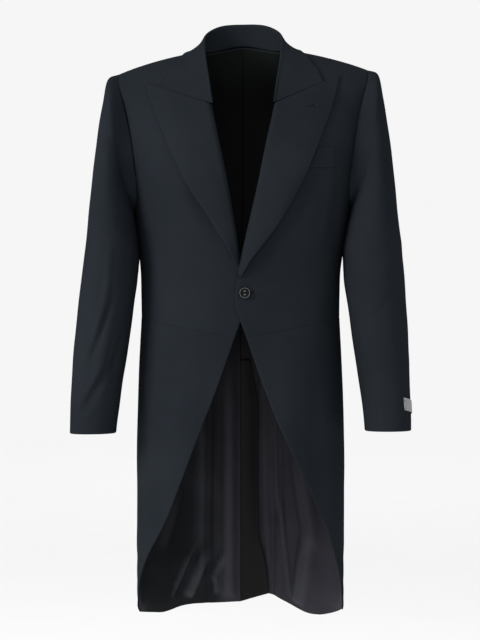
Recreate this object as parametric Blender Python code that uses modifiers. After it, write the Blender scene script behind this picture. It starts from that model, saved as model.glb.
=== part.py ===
"""Morning coat, worn and hollow, as its cut pieces.

Metres, +Z up. The wearer faces -Y and the wearer's left is +X. The origin is on the
centre line at the height of the neck points, where the shoulder seams meet the collar.

Every piece of the body lies on one skin, which is addressed by an angle round the body
(0 at centre front, 180 at centre back) and a height. Heights are negative below the neck
points. The tables are for the wearer's left side, and the right side mirrors them except
where a column is given for each side. A net is a list of rows of (point, normal) pairs.
Walls are lofted from nets, because neighbours have to share their normals at a seam.
"""
import math

import bpy
import bmesh
from mathutils import Matrix, Vector

LEFT, RIGHT = 1, -1
SIDE_NAMES = {LEFT: "left", RIGHT: "right"}

# Cloth and sewing
CLOTH = 0.0020
LAPEL_CLOTH = 0.0024
LINING = 0.0010
SEAM_GAP = 0.0003
LINING_DEPTH = CLOTH + 0.0004
LINING_INSET = 0.0020

# Shoulders and neck
NECK_HALF = 0.075
SHOULDER_SLOPE, SHOULDER_BOW, SHOULDER_END = 0.27, 0.0045, 0.223
CHEST_TOP = -0.25
FRONT_ARCH, BACK_ARCH = 2.0, 2.5
BACK_NECK_RISE, NECK_FALL = 0.0418, 0.0056
BACK_NECK_DEPTH = 0.056
NECK_SEAM_Y, RIDGE_LEVEL_X = 0.010, 0.200

# The wearer's stance: the chest leans to the left and that shoulder is the higher
LEAN, LEAN_TOP, LEAN_END = 0.0045, -0.24, -0.42
SLEEVE_LEAN_TOP, SLEEVE_LEAN_END = -0.34, -0.62
SLEEVE_INSIDE, SLEEVE_OUTSIDE = 0.190, 0.270
TILT, TILT_TOP, TILT_END = 0.018, -0.30, -0.45
SLEEVE_TILT_TOP, SLEEVE_TILT_END = -0.40, -0.95

# Seams that run down the body, as angles
UNDERARM_TOP, UNDERARM_WAIST = (74.0, -0.262), 79.0
SIDE_SEAM_WAIST, SIDE_SEAM_BEND, SIDE_SEAM_TURN = 163.0, 0.55, 0.3
UNDERARM_DIP, UNDERARM_CURVE = 0.030, 1.6
WAIST_SIDE, WAIST_DROP, WAIST_REACH, WAIST_CURVE = -0.481, 0.036, 80.0, 1.3
WAIST_BACK_RISE, WAIST_BACK_START = 0.005, 100.0

# Front fastening
LAP_END, LAP_FADE = -0.520, -0.600
LAP_TOP, LAP_TOP_FADE = -0.375, -0.320
LAP_NEAR_X, LAP_FAR_X = 0.012, 0.050
ROLL_START, ROLL_FULL, ROLL_FADE = -0.432, -0.408, -0.335
LAP_LIFT, ROLL_LIFT = 0.0034, 0.0032
BUTTON_RADIUS, BUTTON_THICKNESS = 0.0100, 0.0036
BUTTON_X, BUTTON_Z, BUTTON_LIFT = 0.0073, -0.439, 0.0043
BACK_BUTTON_Z, BACK_BUTTON_TURN = -0.460, 4.0
BUTTON_SIDES = 16

# Lapels
ROLL_TOP = (0.0565, -0.107)
ROLL_FOOT = {LEFT: (-0.0045, -0.4110), RIGHT: (-0.0005, -0.4020)}
LAPEL_FOOT = {LEFT: (0.0010, -0.4115), RIGHT: (0.0020, -0.4030)}
LAPEL_TIP = {LEFT: (0.1707, -0.0570), RIGHT: (0.1720, -0.0655)}
LAPEL_LIE, LAPEL_ROLL, LAPEL_EDGE = 0.0041, 0.0076, 0.0042
LAPEL_SWELL_FULL = 0.35

# Collar
COLLAR_LIE = 0.0036
FOLD_RADIUS, GORGE_FOLD_RADIUS = 0.0030, 0.0012
FOLD_DROP, FOLD_WIDTH = 0.7, 0.8
STAND_BEND = 0.0004

# Vent: the left tail laps over the right one
UNDERLAP_DROP = 0.0041
UNDERLAP_START = -0.530
VENT_FROM, VENT_FULL, VENT_TOP = 163.0, 175.0, -0.480

# Breast pocket welt and cuff label
WELT_TOP, WELT_BOTTOM, WELT_END = -0.187, -0.222, 0.1600
WELT_THICKNESS, WELT_LIE, WELT_CLEAR = 0.0016, 0.0021, 0.0020
LABEL_FRONT, LABEL_BACK = 54.0, -32.0
LABEL_TOP, LABEL_HEIGHT, LABEL_DROP = -0.6243, 0.0212, 0.0130
LABEL_THICKNESS, LABEL_LIE = 0.0010, 0.0020

# Mesh density, in cells
FRONT_COLUMNS, SIDE_COLUMNS, NECK_COLUMNS = 8, 6, 3
UNDERARM_ROWS = 5
SKIRT_ROWS = 10
UNDERLAP_COLUMNS = 2
LAPEL_ROWS, LAPEL_COLUMNS = 12, 4
WELT_COLUMNS, LABEL_COLUMNS = 3, 6
ROW_SLOWING = 1.6

# Body sections: height, half width, front depth, back depth, squareness
BODY = (
    (0.060, 0.2725, 0.090, 0.105, 2.70),
    (0.000, 0.2725, 0.096, 0.114, 2.70),
    (-0.063, 0.2725, 0.104, 0.124, 2.70),
    (-0.100, 0.2350, 0.110, 0.128, 2.70),
    (-0.150, 0.2186, 0.118, 0.131, 2.70),
    (-0.190, 0.2095, 0.123, 0.131, 2.70),
    (-0.240, 0.1980, 0.128, 0.129, 2.70),
    (-0.285, 0.1945, 0.128, 0.124, 2.65),
    (-0.340, 0.1870, 0.125, 0.115, 2.55),
    (-0.400, 0.1795, 0.120, 0.106, 2.45),
    (-0.484, 0.1780, 0.120, 0.105, 2.40),
    (-0.560, 0.1820, 0.126, 0.118, 2.35),
    (-0.630, 0.1845, 0.130, 0.130, 2.30),
    (-0.720, 0.1870, 0.132, 0.138, 2.30),
    (-0.810, 0.1870, 0.131, 0.141, 2.30),
    (-0.920, 0.1863, 0.129, 0.143, 2.30),
    (-1.040, 0.1850, 0.127, 0.145, 2.30),
)

# Soft flutes of the skirts and tails: angle, half width in degrees, top, depth at the hem
FLUTES = (
    (80.0, 18.0, -0.56, -0.0030),
    (106.0, 17.0, -0.60, 0.0050),
    (132.0, 16.0, -0.58, -0.0050),
    (155.0, 13.0, -0.60, 0.0035),
)
HEM_LEVEL = -1.02
HEM_CORNER = {LEFT: -1.013, RIGHT: -1.018}

# Front edge of the armhole, from the shoulder point down: height, x
ARMHOLE_FRONT = (
    (-0.0400, 0.2230), (-0.0450, 0.2230), (-0.0540, 0.2225), (-0.0680, 0.2200),
    (-0.0880, 0.2140), (-0.1150, 0.2075), (-0.1500, 0.2005), (-0.1900, 0.1940),
    (-0.2280, 0.1900), (-0.2620, 0.1898),
)
# Back edge of the armhole, from the shoulder point down: height, x
ARMHOLE_BACK = (
    (-0.0400, 0.2230), (-0.0425, 0.2220), (-0.0490, 0.2190), (-0.0600, 0.2140),
    (-0.0760, 0.2075), (-0.0980, 0.2000), (-0.1250, 0.1940), (-0.1550, 0.1895),
    (-0.1850, 0.1865), (-0.2120, 0.1860),
)
# Front neckline and roll line of the forepart, from the neck point down: height, x
FRONT_EDGE = (
    (0.0000, 0.0750), (-0.0030, 0.0747), (-0.0110, 0.0737), (-0.0240, 0.0720),
    (-0.0450, 0.0692), (-0.0750, 0.0645), (-0.1120, 0.0560), (-0.1600, 0.0464),
    (-0.2100, 0.0364), (-0.2600, 0.0264), (-0.3100, 0.0164), (-0.3600, 0.0064),
    (-0.4110, -0.0040), (-0.4600, -0.0083), (-0.5170, 0.0105),
)
# Cutaway edge: height, angle on the right side, angle on the left side
CUTAWAY = (
    (-0.510, 2.2, 1.9), (-0.560, 5.6, 6.0), (-0.620, 12.4, 11.8), (-0.680, 19.2, 19.6),
    (-0.740, 26.7, 29.3), (-0.800, 35.6, 41.0), (-0.860, 46.9, 53.3),
    (-0.900, 59.0, 61.0), (-0.930, 71.0, 70.5), (-0.960, 83.0, 82.0),
    (-0.985, 90.0, 90.0), (-1.003, 97.0, 97.0), (-1.018, 105.0, 104.0),
)
# Hem: angle, height on the right side, height on the left side
HEM = (
    (104.0, -1.0170, -1.0120), (110.0, -1.0200, -1.0178), (120.0, -1.0236, -1.0258),
    (129.0, -1.0258, -1.0302), (137.0, -1.0235, -1.0306), (146.0, -1.0187, -1.0255),
    (157.0, -1.0160, -1.0115), (165.0, -1.0153, -0.9990), (180.0, -1.0127, -0.9900),
)
# Underlap of the right tail: height, how far it runs past centre back
UNDERLAP = ((-0.530, 0.004), (-0.600, 0.031), (-0.880, 0.0341), (-0.947, 0.0489), (-1.000, 0.0544))
UNDERLAP_HEM_RISE, UNDERLAP_HEM_FROM = 0.0165, 0.8

# Outer edge of the lapels: height, x on the right side, x on the left side
LAPEL_OUTLINE = (
    (-0.110, 0.1572, 0.1580), (-0.169, 0.1345, 0.1350), (-0.220, 0.1105, 0.1137),
    (-0.264, 0.0868, 0.0925), (-0.299, 0.0630, 0.0740), (-0.334, 0.0395, 0.0522),
    (-0.369, 0.0165, 0.0252), (-0.395, 0.0045, 0.0070),
)

# Collar stations from centre back to the gorge: foot of the stand, fold, then the
# outer edge of the fall as x, share of the way up to the shoulder ridge, and side
COLLAR = (
    ((0.0000, 0.0645, 0.0155), (0.0000, 0.0570, 0.0547), (0.0000, 0.843, "back")),
    ((0.0190, 0.0628, 0.0138), (0.0180, 0.0557, 0.0544), (0.0240, 0.864, "back")),
    ((0.0360, 0.0576, 0.0092), (0.0345, 0.0515, 0.0525), (0.0460, 0.912, "back")),
    ((0.0500, 0.0500, 0.0050), (0.0480, 0.0445, 0.0480), (0.0640, 0.956, "back")),
    ((0.0610, 0.0408, 0.0025), (0.0590, 0.0350, 0.0414), (0.0790, 0.971, "back")),
    ((0.0692, 0.0280, 0.0018), (0.0662, 0.0225, 0.0342), (0.0900, 0.980, "back")),
    ((0.0730, 0.0110, 0.0015), (0.0690, 0.0090, 0.0265), (0.0980, 1.000, "back")),
    ((0.0727, -0.0060, -0.0030), (0.0697, -0.0045, 0.0180), (0.1055, 0.985, "front")),
    ((0.0708, -0.0220, -0.0095), (0.0697, -0.0190, 0.0075), (0.1130, 0.950, "front")),
    ((0.0664, -0.0530, -0.0430), (0.0678, -0.0500, -0.0240), (0.1240, 0.893, "front")),
    ((0.0616, -0.0730, -0.0730), (0.0637, -0.0735, -0.0610), (0.1310, 0.859, "front")),
    ((0.0552, -0.0910, -0.1050), (0.0572, -0.0950, -0.1035), (0.1415, 0.840, "front")),
)

# Sleeve sections below the armhole: inner x, inner height, outer x, outer height,
# middle y, half depth
SLEEVE = (
    (0.1982, -0.2970, 0.2428, -0.0500, -0.002, 0.074),
    (0.1955, -0.3120, 0.2515, -0.0920, -0.006, 0.080),
    (0.1907, -0.3310, 0.2600, -0.1500, -0.014, 0.084),
    (0.1870, -0.3540, 0.2675, -0.2150, -0.024, 0.085),
    (0.1836, -0.3820, 0.2735, -0.2850, -0.034, 0.083),
    (0.1838, -0.4150, 0.2808, -0.3600, -0.042, 0.079),
    (0.1892, -0.4560, 0.2890, -0.4400, -0.047, 0.074),
    (0.1978, -0.5220, 0.2952, -0.5200, -0.053, 0.067),
    (0.2085, -0.5940, 0.2988, -0.5940, -0.060, 0.059),
    (0.2165, -0.6550, 0.3002, -0.6550, -0.068, 0.052),
    (0.2190, -0.6820, 0.3005, -0.6820, -0.072, 0.049),
)
SLEEVE_SQUARENESS = 2.2
FOREARM_SEAM, HINDARM_SEAM = 8, 19

# Profile of a button: share of its radius, share of its height
BUTTON_PROFILE = (
    (0.00, 0.00), (0.60, 0.00), (0.92, 0.35), (1.00, 0.62), (0.96, 0.92), (0.86, 1.00),
    (0.74, 0.84), (0.00, 0.78),
)

# Colour, roughness and metallic value of each material
FINISHES = {
    "cloth": ((0.016, 0.019, 0.026), 0.85, 0.0),
    "lining": ((0.045, 0.042, 0.052), 0.45, 0.0),
    "button": ((0.010, 0.011, 0.013), 0.35, 0.0),
    "label": ((0.150, 0.160, 0.155), 0.70, 0.0),
}


def clear_scene():
    for old in list(bpy.data.objects):
        bpy.data.objects.remove(old, do_unlink=True)


def mix(a, b, t):
    return a + (b - a) * t


def ease(start, end, value):
    """0 at start, 1 at end, with a soft turn at both."""
    t = max(0.0, min(1.0, (value - start) / (end - start)))
    return t * t * (3.0 - 2.0 * t)


def steps(count):
    return [k / count for k in range(count + 1)]


def slowing(count):
    """Steps that shorten towards 1."""
    return [1.0 - (1.0 - t) ** ROW_SLOWING for t in steps(count)]


def read(table, key):
    """The columns of a table at a key, on a curve that never overshoots its rows."""
    rows = sorted(table)
    key = max(rows[0][0], min(rows[-1][0], key))
    low = max(k for k in range(len(rows) - 1) if rows[k][0] <= key)
    span = rows[low + 1][0] - rows[low][0]
    t = (key - rows[low][0]) / span
    values = []
    for column in range(1, len(rows[0])):
        def rate(k):
            return (rows[k + 1][column] - rows[k][column]) / (rows[k + 1][0] - rows[k][0])

        def tangent(k):
            if k == 0:
                return rate(0)
            if k == len(rows) - 1:
                return rate(k - 1)
            before, after = rate(k - 1), rate(k)
            return 2.0 * before * after / (before + after) if before * after > 0 else 0.0

        start, end = rows[low][column], rows[low + 1][column]
        rise, fall = tangent(low) * span, tangent(low + 1) * span
        curve = start + rise * t + (3 * (end - start) - 2 * rise - fall) * t ** 2
        values.append(curve + (2 * (start - end) + rise + fall) * t ** 3)
    return values


# The skin of the body

def ridge_height(x):
    """Height of the shoulder line over x, and of its run across the back of the neck."""
    x = abs(x)
    if x < NECK_HALF:
        inside = 1.0 - (x / NECK_HALF) ** 2
        return NECK_FALL * inside + (BACK_NECK_RISE - NECK_FALL) * inside ** 2
    out = min(1.0, (x - NECK_HALF) / (SHOULDER_END - NECK_HALF))
    return SHOULDER_BOW * 4.0 * out * (1.0 - out) - SHOULDER_SLOPE * (x - NECK_HALF)


def ridge_depth(x):
    share = (RIDGE_LEVEL_X - abs(x)) / (RIDGE_LEVEL_X - NECK_HALF)
    return NECK_SEAM_Y * max(0.0, min(1.0, share))


def flute(angle, z):
    out = 0.0
    for middle, half, top, depth in FLUTES:
        across = max(0.0, 1.0 - ((abs(angle) - middle) / half) ** 2) ** 2
        out += depth * across * ease(top, HEM_LEVEL, z)
    return out


def plain_skin(angle, z):
    """A point of the skin before it is fluted."""
    angle = (angle + 180.0) % 360.0 - 180.0
    half, front, back, square = read(BODY, z)
    turn = math.radians(abs(angle))
    x = half * math.sin(turn) ** (2.0 / square)
    reach = abs(math.cos(turn)) ** (2.0 / square)
    y = -front * reach if abs(angle) <= 90.0 else back * reach
    if z > CHEST_TOP:
        share = min(1.0, (z - CHEST_TOP) / (ridge_height(x) - CHEST_TOP))
        arch = FRONT_ARCH if abs(angle) <= 90.0 else BACK_ARCH
        y = mix(ridge_depth(x), y, (1.0 - share ** arch) ** (1.0 / arch))
    return Vector((math.copysign(x, angle), y, z))


def skin_normal(angle, z):
    """The outward normal of the plain skin. On the shoulder ridge it points up."""
    x = plain_skin(angle, z).x
    if z > ridge_height(x) - 1e-6:
        return Vector((math.copysign(SHOULDER_SLOPE, x), 0.0, 1.0)).normalized()
    lower, upper = z - 0.002, min(z + 0.002, ridge_height(x) - 1e-5)
    across = plain_skin(angle + 1.0, z) - plain_skin(angle - 1.0, z)
    along = plain_skin(angle, upper) - plain_skin(angle, lower)
    return across.cross(along).normalized()


def skin(angle, z):
    """A point of the outer skin at an angle and a height."""
    return plain_skin(angle, z) + skin_normal(angle, z) * flute(angle, z)


def angle_at(x, z):
    """The angle at which the front of the skin passes x."""
    half, _, _, square = read(BODY, z)
    turn = math.degrees(math.asin(min(1.0, abs(x) / half) ** (square / 2.0)))
    return math.copysign(turn, x)


def ridge_to_height(x, share):
    """The height of a point that is a share of the way from the chest to the ridge."""
    return mix(CHEST_TOP, ridge_height(x), share)


def stand(point, hangs=False):
    """Lean and tilt a point with the wearer. A sleeve hangs from its shoulder."""
    x, y, z = point
    lean, tilt = ease(LEAN_END, LEAN_TOP, z), ease(TILT_END, TILT_TOP, z)
    if hangs:
        outside = ease(SLEEVE_INSIDE, SLEEVE_OUTSIDE, abs(x))
        lean = mix(lean, ease(SLEEVE_LEAN_END, SLEEVE_LEAN_TOP, z), outside)
        tilt = ease(SLEEVE_TILT_END, SLEEVE_TILT_TOP, z)
    return Vector((x + LEAN * lean, y, z + TILT * tilt * x))


# Nets

def body_net(rows, hand, lift=None):
    """A net over rows of (angle, height), lifted off the skin by lift(angle, height)."""
    net = []
    for row in rows:
        line = []
        for place in row:
            if place is None:
                line.append(None)
                continue
            angle, z = place
            normal = skin_normal(angle * hand, z)
            out = lift(angle, z) if lift else 0.0
            line.append((skin(angle * hand, z) + normal * out, normal))
        net.append(line)
    return net


def lifted(net, out):
    return [[cell and (cell[0] + cell[1] * out, cell[1]) for cell in row] for row in net]


def trimmed(net, inset=SEAM_GAP / 2):
    """The net with its edges drawn in, so that walls stand apart at a seam."""
    def cell(j, i):
        inside = 0 <= j < len(net) and 0 <= i < len(net[0])
        return net[j][i] if inside else None

    result = []
    for j, row in enumerate(net):
        line = []
        for i, here in enumerate(row):
            if here is None:
                line.append(None)
                continue
            move = Vector()
            for dj, di in ((0, 1), (0, -1), (1, 0), (-1, 0)):
                inner = cell(j + dj, i + di)
                if inner is not None and cell(j - dj, i - di) is None:
                    move += (inner[0] - here[0]).normalized() * inset
            line.append((here[0] + move, here[1]))
        result.append(line)
    return result


def quads(net):
    """Index pairs of the four corners of each whole cell, wound to face outwards."""
    for j in range(len(net) - 1):
        for i in range(len(net[0]) - 1):
            corners = ((j, i), (j, i + 1), (j + 1, i + 1), (j + 1, i))
            if all(net[a][b] is not None for a, b in corners):
                yield corners


def outward_split(corners, net):
    """Two triangles for a cell, split along its prouder diagonal. Walls that lie on each
    other are then split alike."""
    a, b, c, d = corners
    points = [net[j][i][0] for j, i in corners]
    normal = net[a[0]][a[1]][1] + net[c[0]][c[1]][1]
    if (points[0] + points[2] - points[1] - points[3]).dot(normal) > 0.0:
        return (a, b, c), (a, c, d)
    return (a, b, d), (b, c, d)


def wall(name, net, thickness, finish, hand=LEFT, hangs=False):
    """A closed wall whose outer face is the net and whose inner face is set in from it."""
    mesh = bpy.data.meshes.new(name)
    shell = bmesh.new()
    outer, inner = {}, {}
    for j, row in enumerate(net):
        for i, cell in enumerate(row):
            if cell is not None:
                outer[j, i] = shell.verts.new(stand(cell[0], hangs))
                inner[j, i] = shell.verts.new(stand(cell[0] - cell[1] * thickness, hangs))
    rim = set()
    for corners in quads(net):
        for triangle in outward_split(corners, net):
            order = triangle if hand == LEFT else triangle[::-1]
            shell.faces.new([outer[c] for c in order])
            shell.faces.new([inner[c] for c in reversed(order)])
            for edge in zip(order, order[1:] + order[:1]):
                rim ^= {edge} if edge[::-1] not in rim else {edge[::-1]}
    for start, end in sorted(rim):
        a, b, c, d = outer[end], outer[start], inner[start], inner[end]
        for triangle in ((a, b, c), (a, c, d)) if a.co.z < b.co.z else ((a, b, d), (b, c, d)):
            shell.faces.new(triangle)
    loose = [v for v in shell.verts if not v.link_faces]
    bmesh.ops.delete(shell, geom=loose, context="VERTS")
    shell.to_mesh(mesh)
    shell.free()
    return add_object(name, mesh, finish)


def add_object(name, mesh, finish):
    mesh.materials.append(material(finish))
    mesh.shade_smooth()
    mesh.set_sharp_from_angle(angle=math.radians(40))
    piece = bpy.data.objects.new(name, mesh)
    coat.objects.link(piece)
    return piece


def material(finish):
    found = bpy.data.materials.get(finish)
    if found:
        return found
    colour, roughness, metallic = FINISHES[finish]
    made = bpy.data.materials.new(finish)
    made.use_nodes = True
    shader = made.node_tree.nodes["Principled BSDF"]
    shader.inputs["Base Color"].default_value = (*colour, 1.0)
    shader.inputs["Roughness"].default_value = roughness
    shader.inputs["Metallic"].default_value = metallic
    return made


# Seams of the body

def waist_height(angle):
    """The waist seam: lowest at centre front, level round the sides and the back."""
    angle = abs(angle)
    drop = WAIST_DROP * max(0.0, 1.0 - angle / WAIST_REACH) ** WAIST_CURVE
    return WAIST_SIDE - drop + WAIST_BACK_RISE * ease(WAIST_BACK_START, 180.0, angle)


def underarm_seam():
    """Places up the underarm seam and on up the front of the armhole."""
    low = waist_height(UNDERARM_WAIST)
    top_angle, top = UNDERARM_TOP
    seam = [(mix(UNDERARM_WAIST, top_angle, t), mix(low, top, t)) for t in steps(UNDERARM_ROWS)]
    edge = [(angle_at(x, z), z) for z, x in reversed(ARMHOLE_FRONT)]
    return seam[:-1] + edge


def side_seam():
    """Places up the curved seam of the back and on up the back of the armhole."""
    low = waist_height(SIDE_SEAM_WAIST)
    edge = [(180.0 - angle_at(x, z), z) for z, x in reversed(ARMHOLE_BACK)]
    top_angle, top = edge[0]
    seam = []
    for t in steps(UNDERARM_ROWS)[:-1]:
        bend = t + SIDE_SEAM_BEND * t * (1.0 - t) * (2.0 * (t - SIDE_SEAM_TURN))
        seam.append((mix(SIDE_SEAM_WAIST, top_angle, bend), mix(low, top, t)))
    return seam + edge


def front_edge():
    """Places up the front edge, the roll line and the front of the neck."""
    return [(angle_at(x, z), z) for z, x in reversed(FRONT_EDGE)]


def lap(hand):
    """How far a front lies off the skin: the left one laps over the right."""
    def lift(angle, z):
        if hand == RIGHT:
            return 0.0
        x = skin(angle, z).x
        near = 1.0 - ease(LAP_NEAR_X, LAP_FAR_X, x)
        height = ease(LAP_FADE, LAP_END, z) * (1.0 - ease(LAP_TOP, LAP_TOP_FADE, z))
        roll = ROLL_LIFT * ease(ROLL_START, ROLL_FULL, z) * (1.0 - ease(LAP_TOP, ROLL_FADE, z))
        return near * (LAP_LIFT * height + roll)
    return lift


def forepart_rows():
    medial, lateral = front_edge(), underarm_seam()
    rows = []
    columns = []
    for w in steps(FRONT_COLUMNS):
        top = mix(medial[-1][0], lateral[-1][0], w)
        bottom = mix(medial[0][0], lateral[0][0], w)
        ridge = ridge_height(skin(top, lateral[-1][1]).x)
        columns.append((w, waist_height(bottom), ridge))
    for inner, outer in zip(medial, lateral):
        row = []
        for w, low, high in columns:
            up_inner = (inner[1] - medial[0][1]) / (medial[-1][1] - medial[0][1])
            up_outer = (outer[1] - lateral[0][1]) / (lateral[-1][1] - lateral[0][1])
            row.append((mix(inner[0], outer[0], w), mix(low, high, mix(up_inner, up_outer, w))))
        rows.append(row)
    return rows


def side_body_rows():
    front = underarm_seam()[:UNDERARM_ROWS + 1]
    back = side_seam()[:UNDERARM_ROWS + 1]
    rows = []
    for j, t in enumerate(steps(UNDERARM_ROWS)):
        row = []
        for u in steps(SIDE_COLUMNS):
            angle = mix(front[j][0], back[j][0], u)
            low = waist_height(mix(front[0][0], back[0][0], u))
            top = mix(front[-1][1], back[-1][1], u ** UNDERARM_CURVE)
            top -= UNDERARM_DIP * math.sin(math.pi * u)
            row.append((angle, mix(low, top, t)))
        rows.append(row)
    return rows


def back_neck(x):
    """The place on the back neckline over x, whose plan is a quarter of an oval."""
    y = NECK_SEAM_Y + BACK_NECK_DEPTH * math.sqrt(max(0.0, 1.0 - (x / NECK_HALF) ** 2))
    low, high = CHEST_TOP, ridge_height(x)
    for _ in range(40):
        middle = (low + high) / 2.0
        if skin(180.0 - angle_at(x, middle), middle).y > y:
            low = middle
        else:
            high = middle
    return 180.0 - angle_at(x, low), low


def back_rows():
    """Rows from the waist up, from the side seam to centre back."""
    lateral = side_seam()
    front_top = forepart_rows()[-1]
    top = [(180.0 - angle, z) for angle, z in reversed(front_top)]
    for k in range(1, NECK_COLUMNS + 1):
        top.append(back_neck(NECK_HALF * math.cos(math.pi / 2 * k / NECK_COLUMNS)))
    shares = [(angle - top[0][0]) / (180.0 - top[0][0]) for angle, _ in top]
    centre = slowing(len(lateral) - 1)
    rows = []
    for j, (angle, z) in enumerate(lateral):
        up = (z - lateral[0][1]) / (lateral[-1][1] - lateral[0][1])
        row = []
        for w, (_, high) in zip(shares, top):
            low = waist_height(mix(lateral[0][0], 180.0, w))
            row.append((mix(angle, 180.0, w), mix(low, high, mix(up, centre[j], w))))
        rows.append(row)
    rows[-1] = top
    return rows


def cutaway_angle(z, hand):
    return read(CUTAWAY, z)[0 if hand == RIGHT else 1]


def hem_height(angle, hand):
    return read(HEM, angle)[0 if hand == RIGHT else 1]


def skirt_rows(hand):
    """Rows from the waist seam down, from the cutaway edge to the side pleat."""
    seam = forepart_rows()[0][:-1] + side_body_rows()[0]
    first, last = seam[0][0], seam[-1][0]
    corner = HEM_CORNER[hand]
    rows = []
    for t in slowing(SKIRT_ROWS):
        edge_z = mix(seam[0][1], corner, t)
        edge = cutaway_angle(edge_z, hand) if t > 0.0 else first
        row = []
        for angle, top in seam:
            share = (angle - first) / (last - first)
            here = mix(edge, last, share)
            hem_angle = mix(cutaway_angle(corner, hand), last, share)
            row.append((here, mix(top, hem_height(hem_angle, hand), t)))
        rows.append(row)
    return rows


def tail_rows(hand):
    """Rows from the waist down, from the side pleat to centre back, and on past it to
    the edge of the underlap on the right."""
    seam = back_rows()[0]
    rows = []
    for t in slowing(SKIRT_ROWS):
        row = [(angle, mix(top, hem_height(angle, hand), t)) for angle, top in seam]
        for k in range(1, UNDERLAP_COLUMNS + 1):
            z = mix(seam[-1][1], hem_height(180.0, hand), t)
            z += UNDERLAP_HEM_RISE * k / UNDERLAP_COLUMNS * ease(UNDERLAP_HEM_FROM, 1.0, t)
            past = read(UNDERLAP, z)[0] * k / UNDERLAP_COLUMNS
            missing = hand == LEFT or z > UNDERLAP_START
            row.append(None if missing else (180.0 + angle_at(past, z), z))
        rows.append(row)
    return rows


def vent(hand):
    """How far a tail lies under the skin: the right one passes under the left."""
    def lift(angle, z):
        if hand == LEFT:
            return 0.0
        under = ease(VENT_FROM, VENT_FULL, angle) * ease(VENT_TOP, UNDERLAP_START, z)
        return -UNDERLAP_DROP * under
    return lift


# Pieces of the body

def make_body(hand):
    side = SIDE_NAMES[hand]
    forepart = body_net(forepart_rows(), hand, lap(hand))
    wall(f"forepart_{side}", trimmed(forepart), CLOTH, "cloth", hand)

    side_body = body_net(side_body_rows(), hand)
    wall(f"side_body_{side}", trimmed(side_body), CLOTH, "cloth", hand)

    upper, tail = back_rows(), tail_rows(hand)
    gap = [None] * UNDERLAP_COLUMNS
    rows = tail[:0:-1] + [row + gap for row in upper]
    back = body_net(rows, hand, vent(hand))
    wall(f"back_{side}", trimmed(back), CLOTH, "cloth", hand)

    skirt = body_net(skirt_rows(hand)[::-1], hand, lap(hand))
    wall(f"skirt_{side}", trimmed(skirt), CLOTH, "cloth", hand)

    lined = [row[:len(upper[0])] for row in tail[::-1]]
    make_linings(hand, body_net(upper, hand), body_net(lined, hand, vent(hand)), skirt)


def make_linings(hand, upper, tail, skirt):
    """Linings of the back, the tail and the skirt. The underlap is bare cloth inside."""
    side = SIDE_NAMES[hand]
    for name, net in (("back_lining", upper), ("tail_lining", tail), ("skirt_lining", skirt)):
        inside = lifted(trimmed(net, LINING_INSET), -LINING_DEPTH)
        wall(f"{name}_{side}", inside, LINING, "lining", hand)


# Lapels, collar and what lies on the fronts

def gorge_height(x, hand):
    """The gorge seam, straight from the top of the roll line to the lapel's tip."""
    tip_x, tip_z = LAPEL_TIP[hand]
    return mix(ROLL_TOP[1], tip_z, (x - ROLL_TOP[0]) / (tip_x - ROLL_TOP[0]))


def lapel_outline(hand):
    column = 1 if hand == RIGHT else 2
    points = [(row[column], row[0]) for row in reversed(LAPEL_OUTLINE)]
    return [LAPEL_FOOT[hand]] + points + [LAPEL_TIP[hand]]


def along(points, share):
    """The point at a share of the length of a line of points."""
    lengths = [math.dist(a, b) for a, b in zip(points, points[1:])]
    left = share * sum(lengths)
    for (a, b), length in zip(zip(points, points[1:]), lengths):
        if left <= length:
            return tuple(mix(p, q, left / length) for p, q in zip(a, b))
        left -= length
    return points[-1]


def make_lapel(hand):
    """The facing, turned back at the roll line and lying on the forepart."""
    over = lap(hand)
    outline = lapel_outline(hand)
    net = []
    for u in steps(LAPEL_ROWS):
        roll = along((ROLL_FOOT[hand], ROLL_TOP), u)
        edge = along(outline, u)
        row = []
        for v in steps(LAPEL_COLUMNS):
            x, z = mix(roll[0], edge[0], v), mix(roll[1], edge[1], v)
            angle = angle_at(x, z)
            width = ease(0.0, LAPEL_SWELL_FULL, u)
            swell = 4.0 * v * (1.0 - v) * (LAPEL_ROLL - LAPEL_LIE) * width
            out = mix(LAPEL_LIE, LAPEL_EDGE, v) + swell + over(angle, z)
            normal = skin_normal(angle * hand, z)
            row.append((skin(angle * hand, z) + normal * out, normal))
        net.append(row)
    wall(f"lapel_{SIDE_NAMES[hand]}", trimmed(net), LAPEL_CLOTH, "cloth", hand)


def collar_station(foot, fold, edge, hand, last):
    """One section of the collar: up the stand, over the fold and down the fall."""
    foot, fold = Vector(foot), Vector(fold)
    x, share, where = edge
    turn = (lambda a: a) if where == "front" else (lambda a: 180.0 - a)
    start_z = min(foot.z, ridge_height(foot.x)) if where == "front" else foot.z
    start_share = min(1.0, (start_z - CHEST_TOP) / (ridge_height(foot.x) - CHEST_TOP))
    up = Vector((0.0, 0.0, 1.0))
    away = Vector((x, skin(turn(angle_at(x, ridge_to_height(x, share))),
                           ridge_to_height(x, share)).y, 0.0))
    away = (away - Vector((foot.x, foot.y, 0.0))).normalized()
    radius = GORGE_FOLD_RADIUS if last else FOLD_RADIUS
    down, wide = up * radius * FOLD_DROP, away * radius * FOLD_WIDTH
    points = [foot, foot.lerp(fold, 0.5) - away * STAND_BEND]
    points += [fold - down - wide, fold, fold - down + wide]
    for v in (0.25, 0.5, 0.75, 1.0):
        here_x = mix(foot.x, x, v)
        z = ridge_to_height(here_x, mix(start_share, share, v))
        if last:
            z = gorge_height(here_x, hand) + 3 * SEAM_GAP
        angle = turn(angle_at(here_x, z))
        base = skin(angle, z)
        rest = (1.0 - v) ** 2
        lie = skin_normal(angle, z) * COLLAR_LIE
        points.append(base + (fold - foot) * rest + lie * (1.0 - rest))
    return [Vector((p.x * hand, p.y, p.z)) for p in points]


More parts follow.
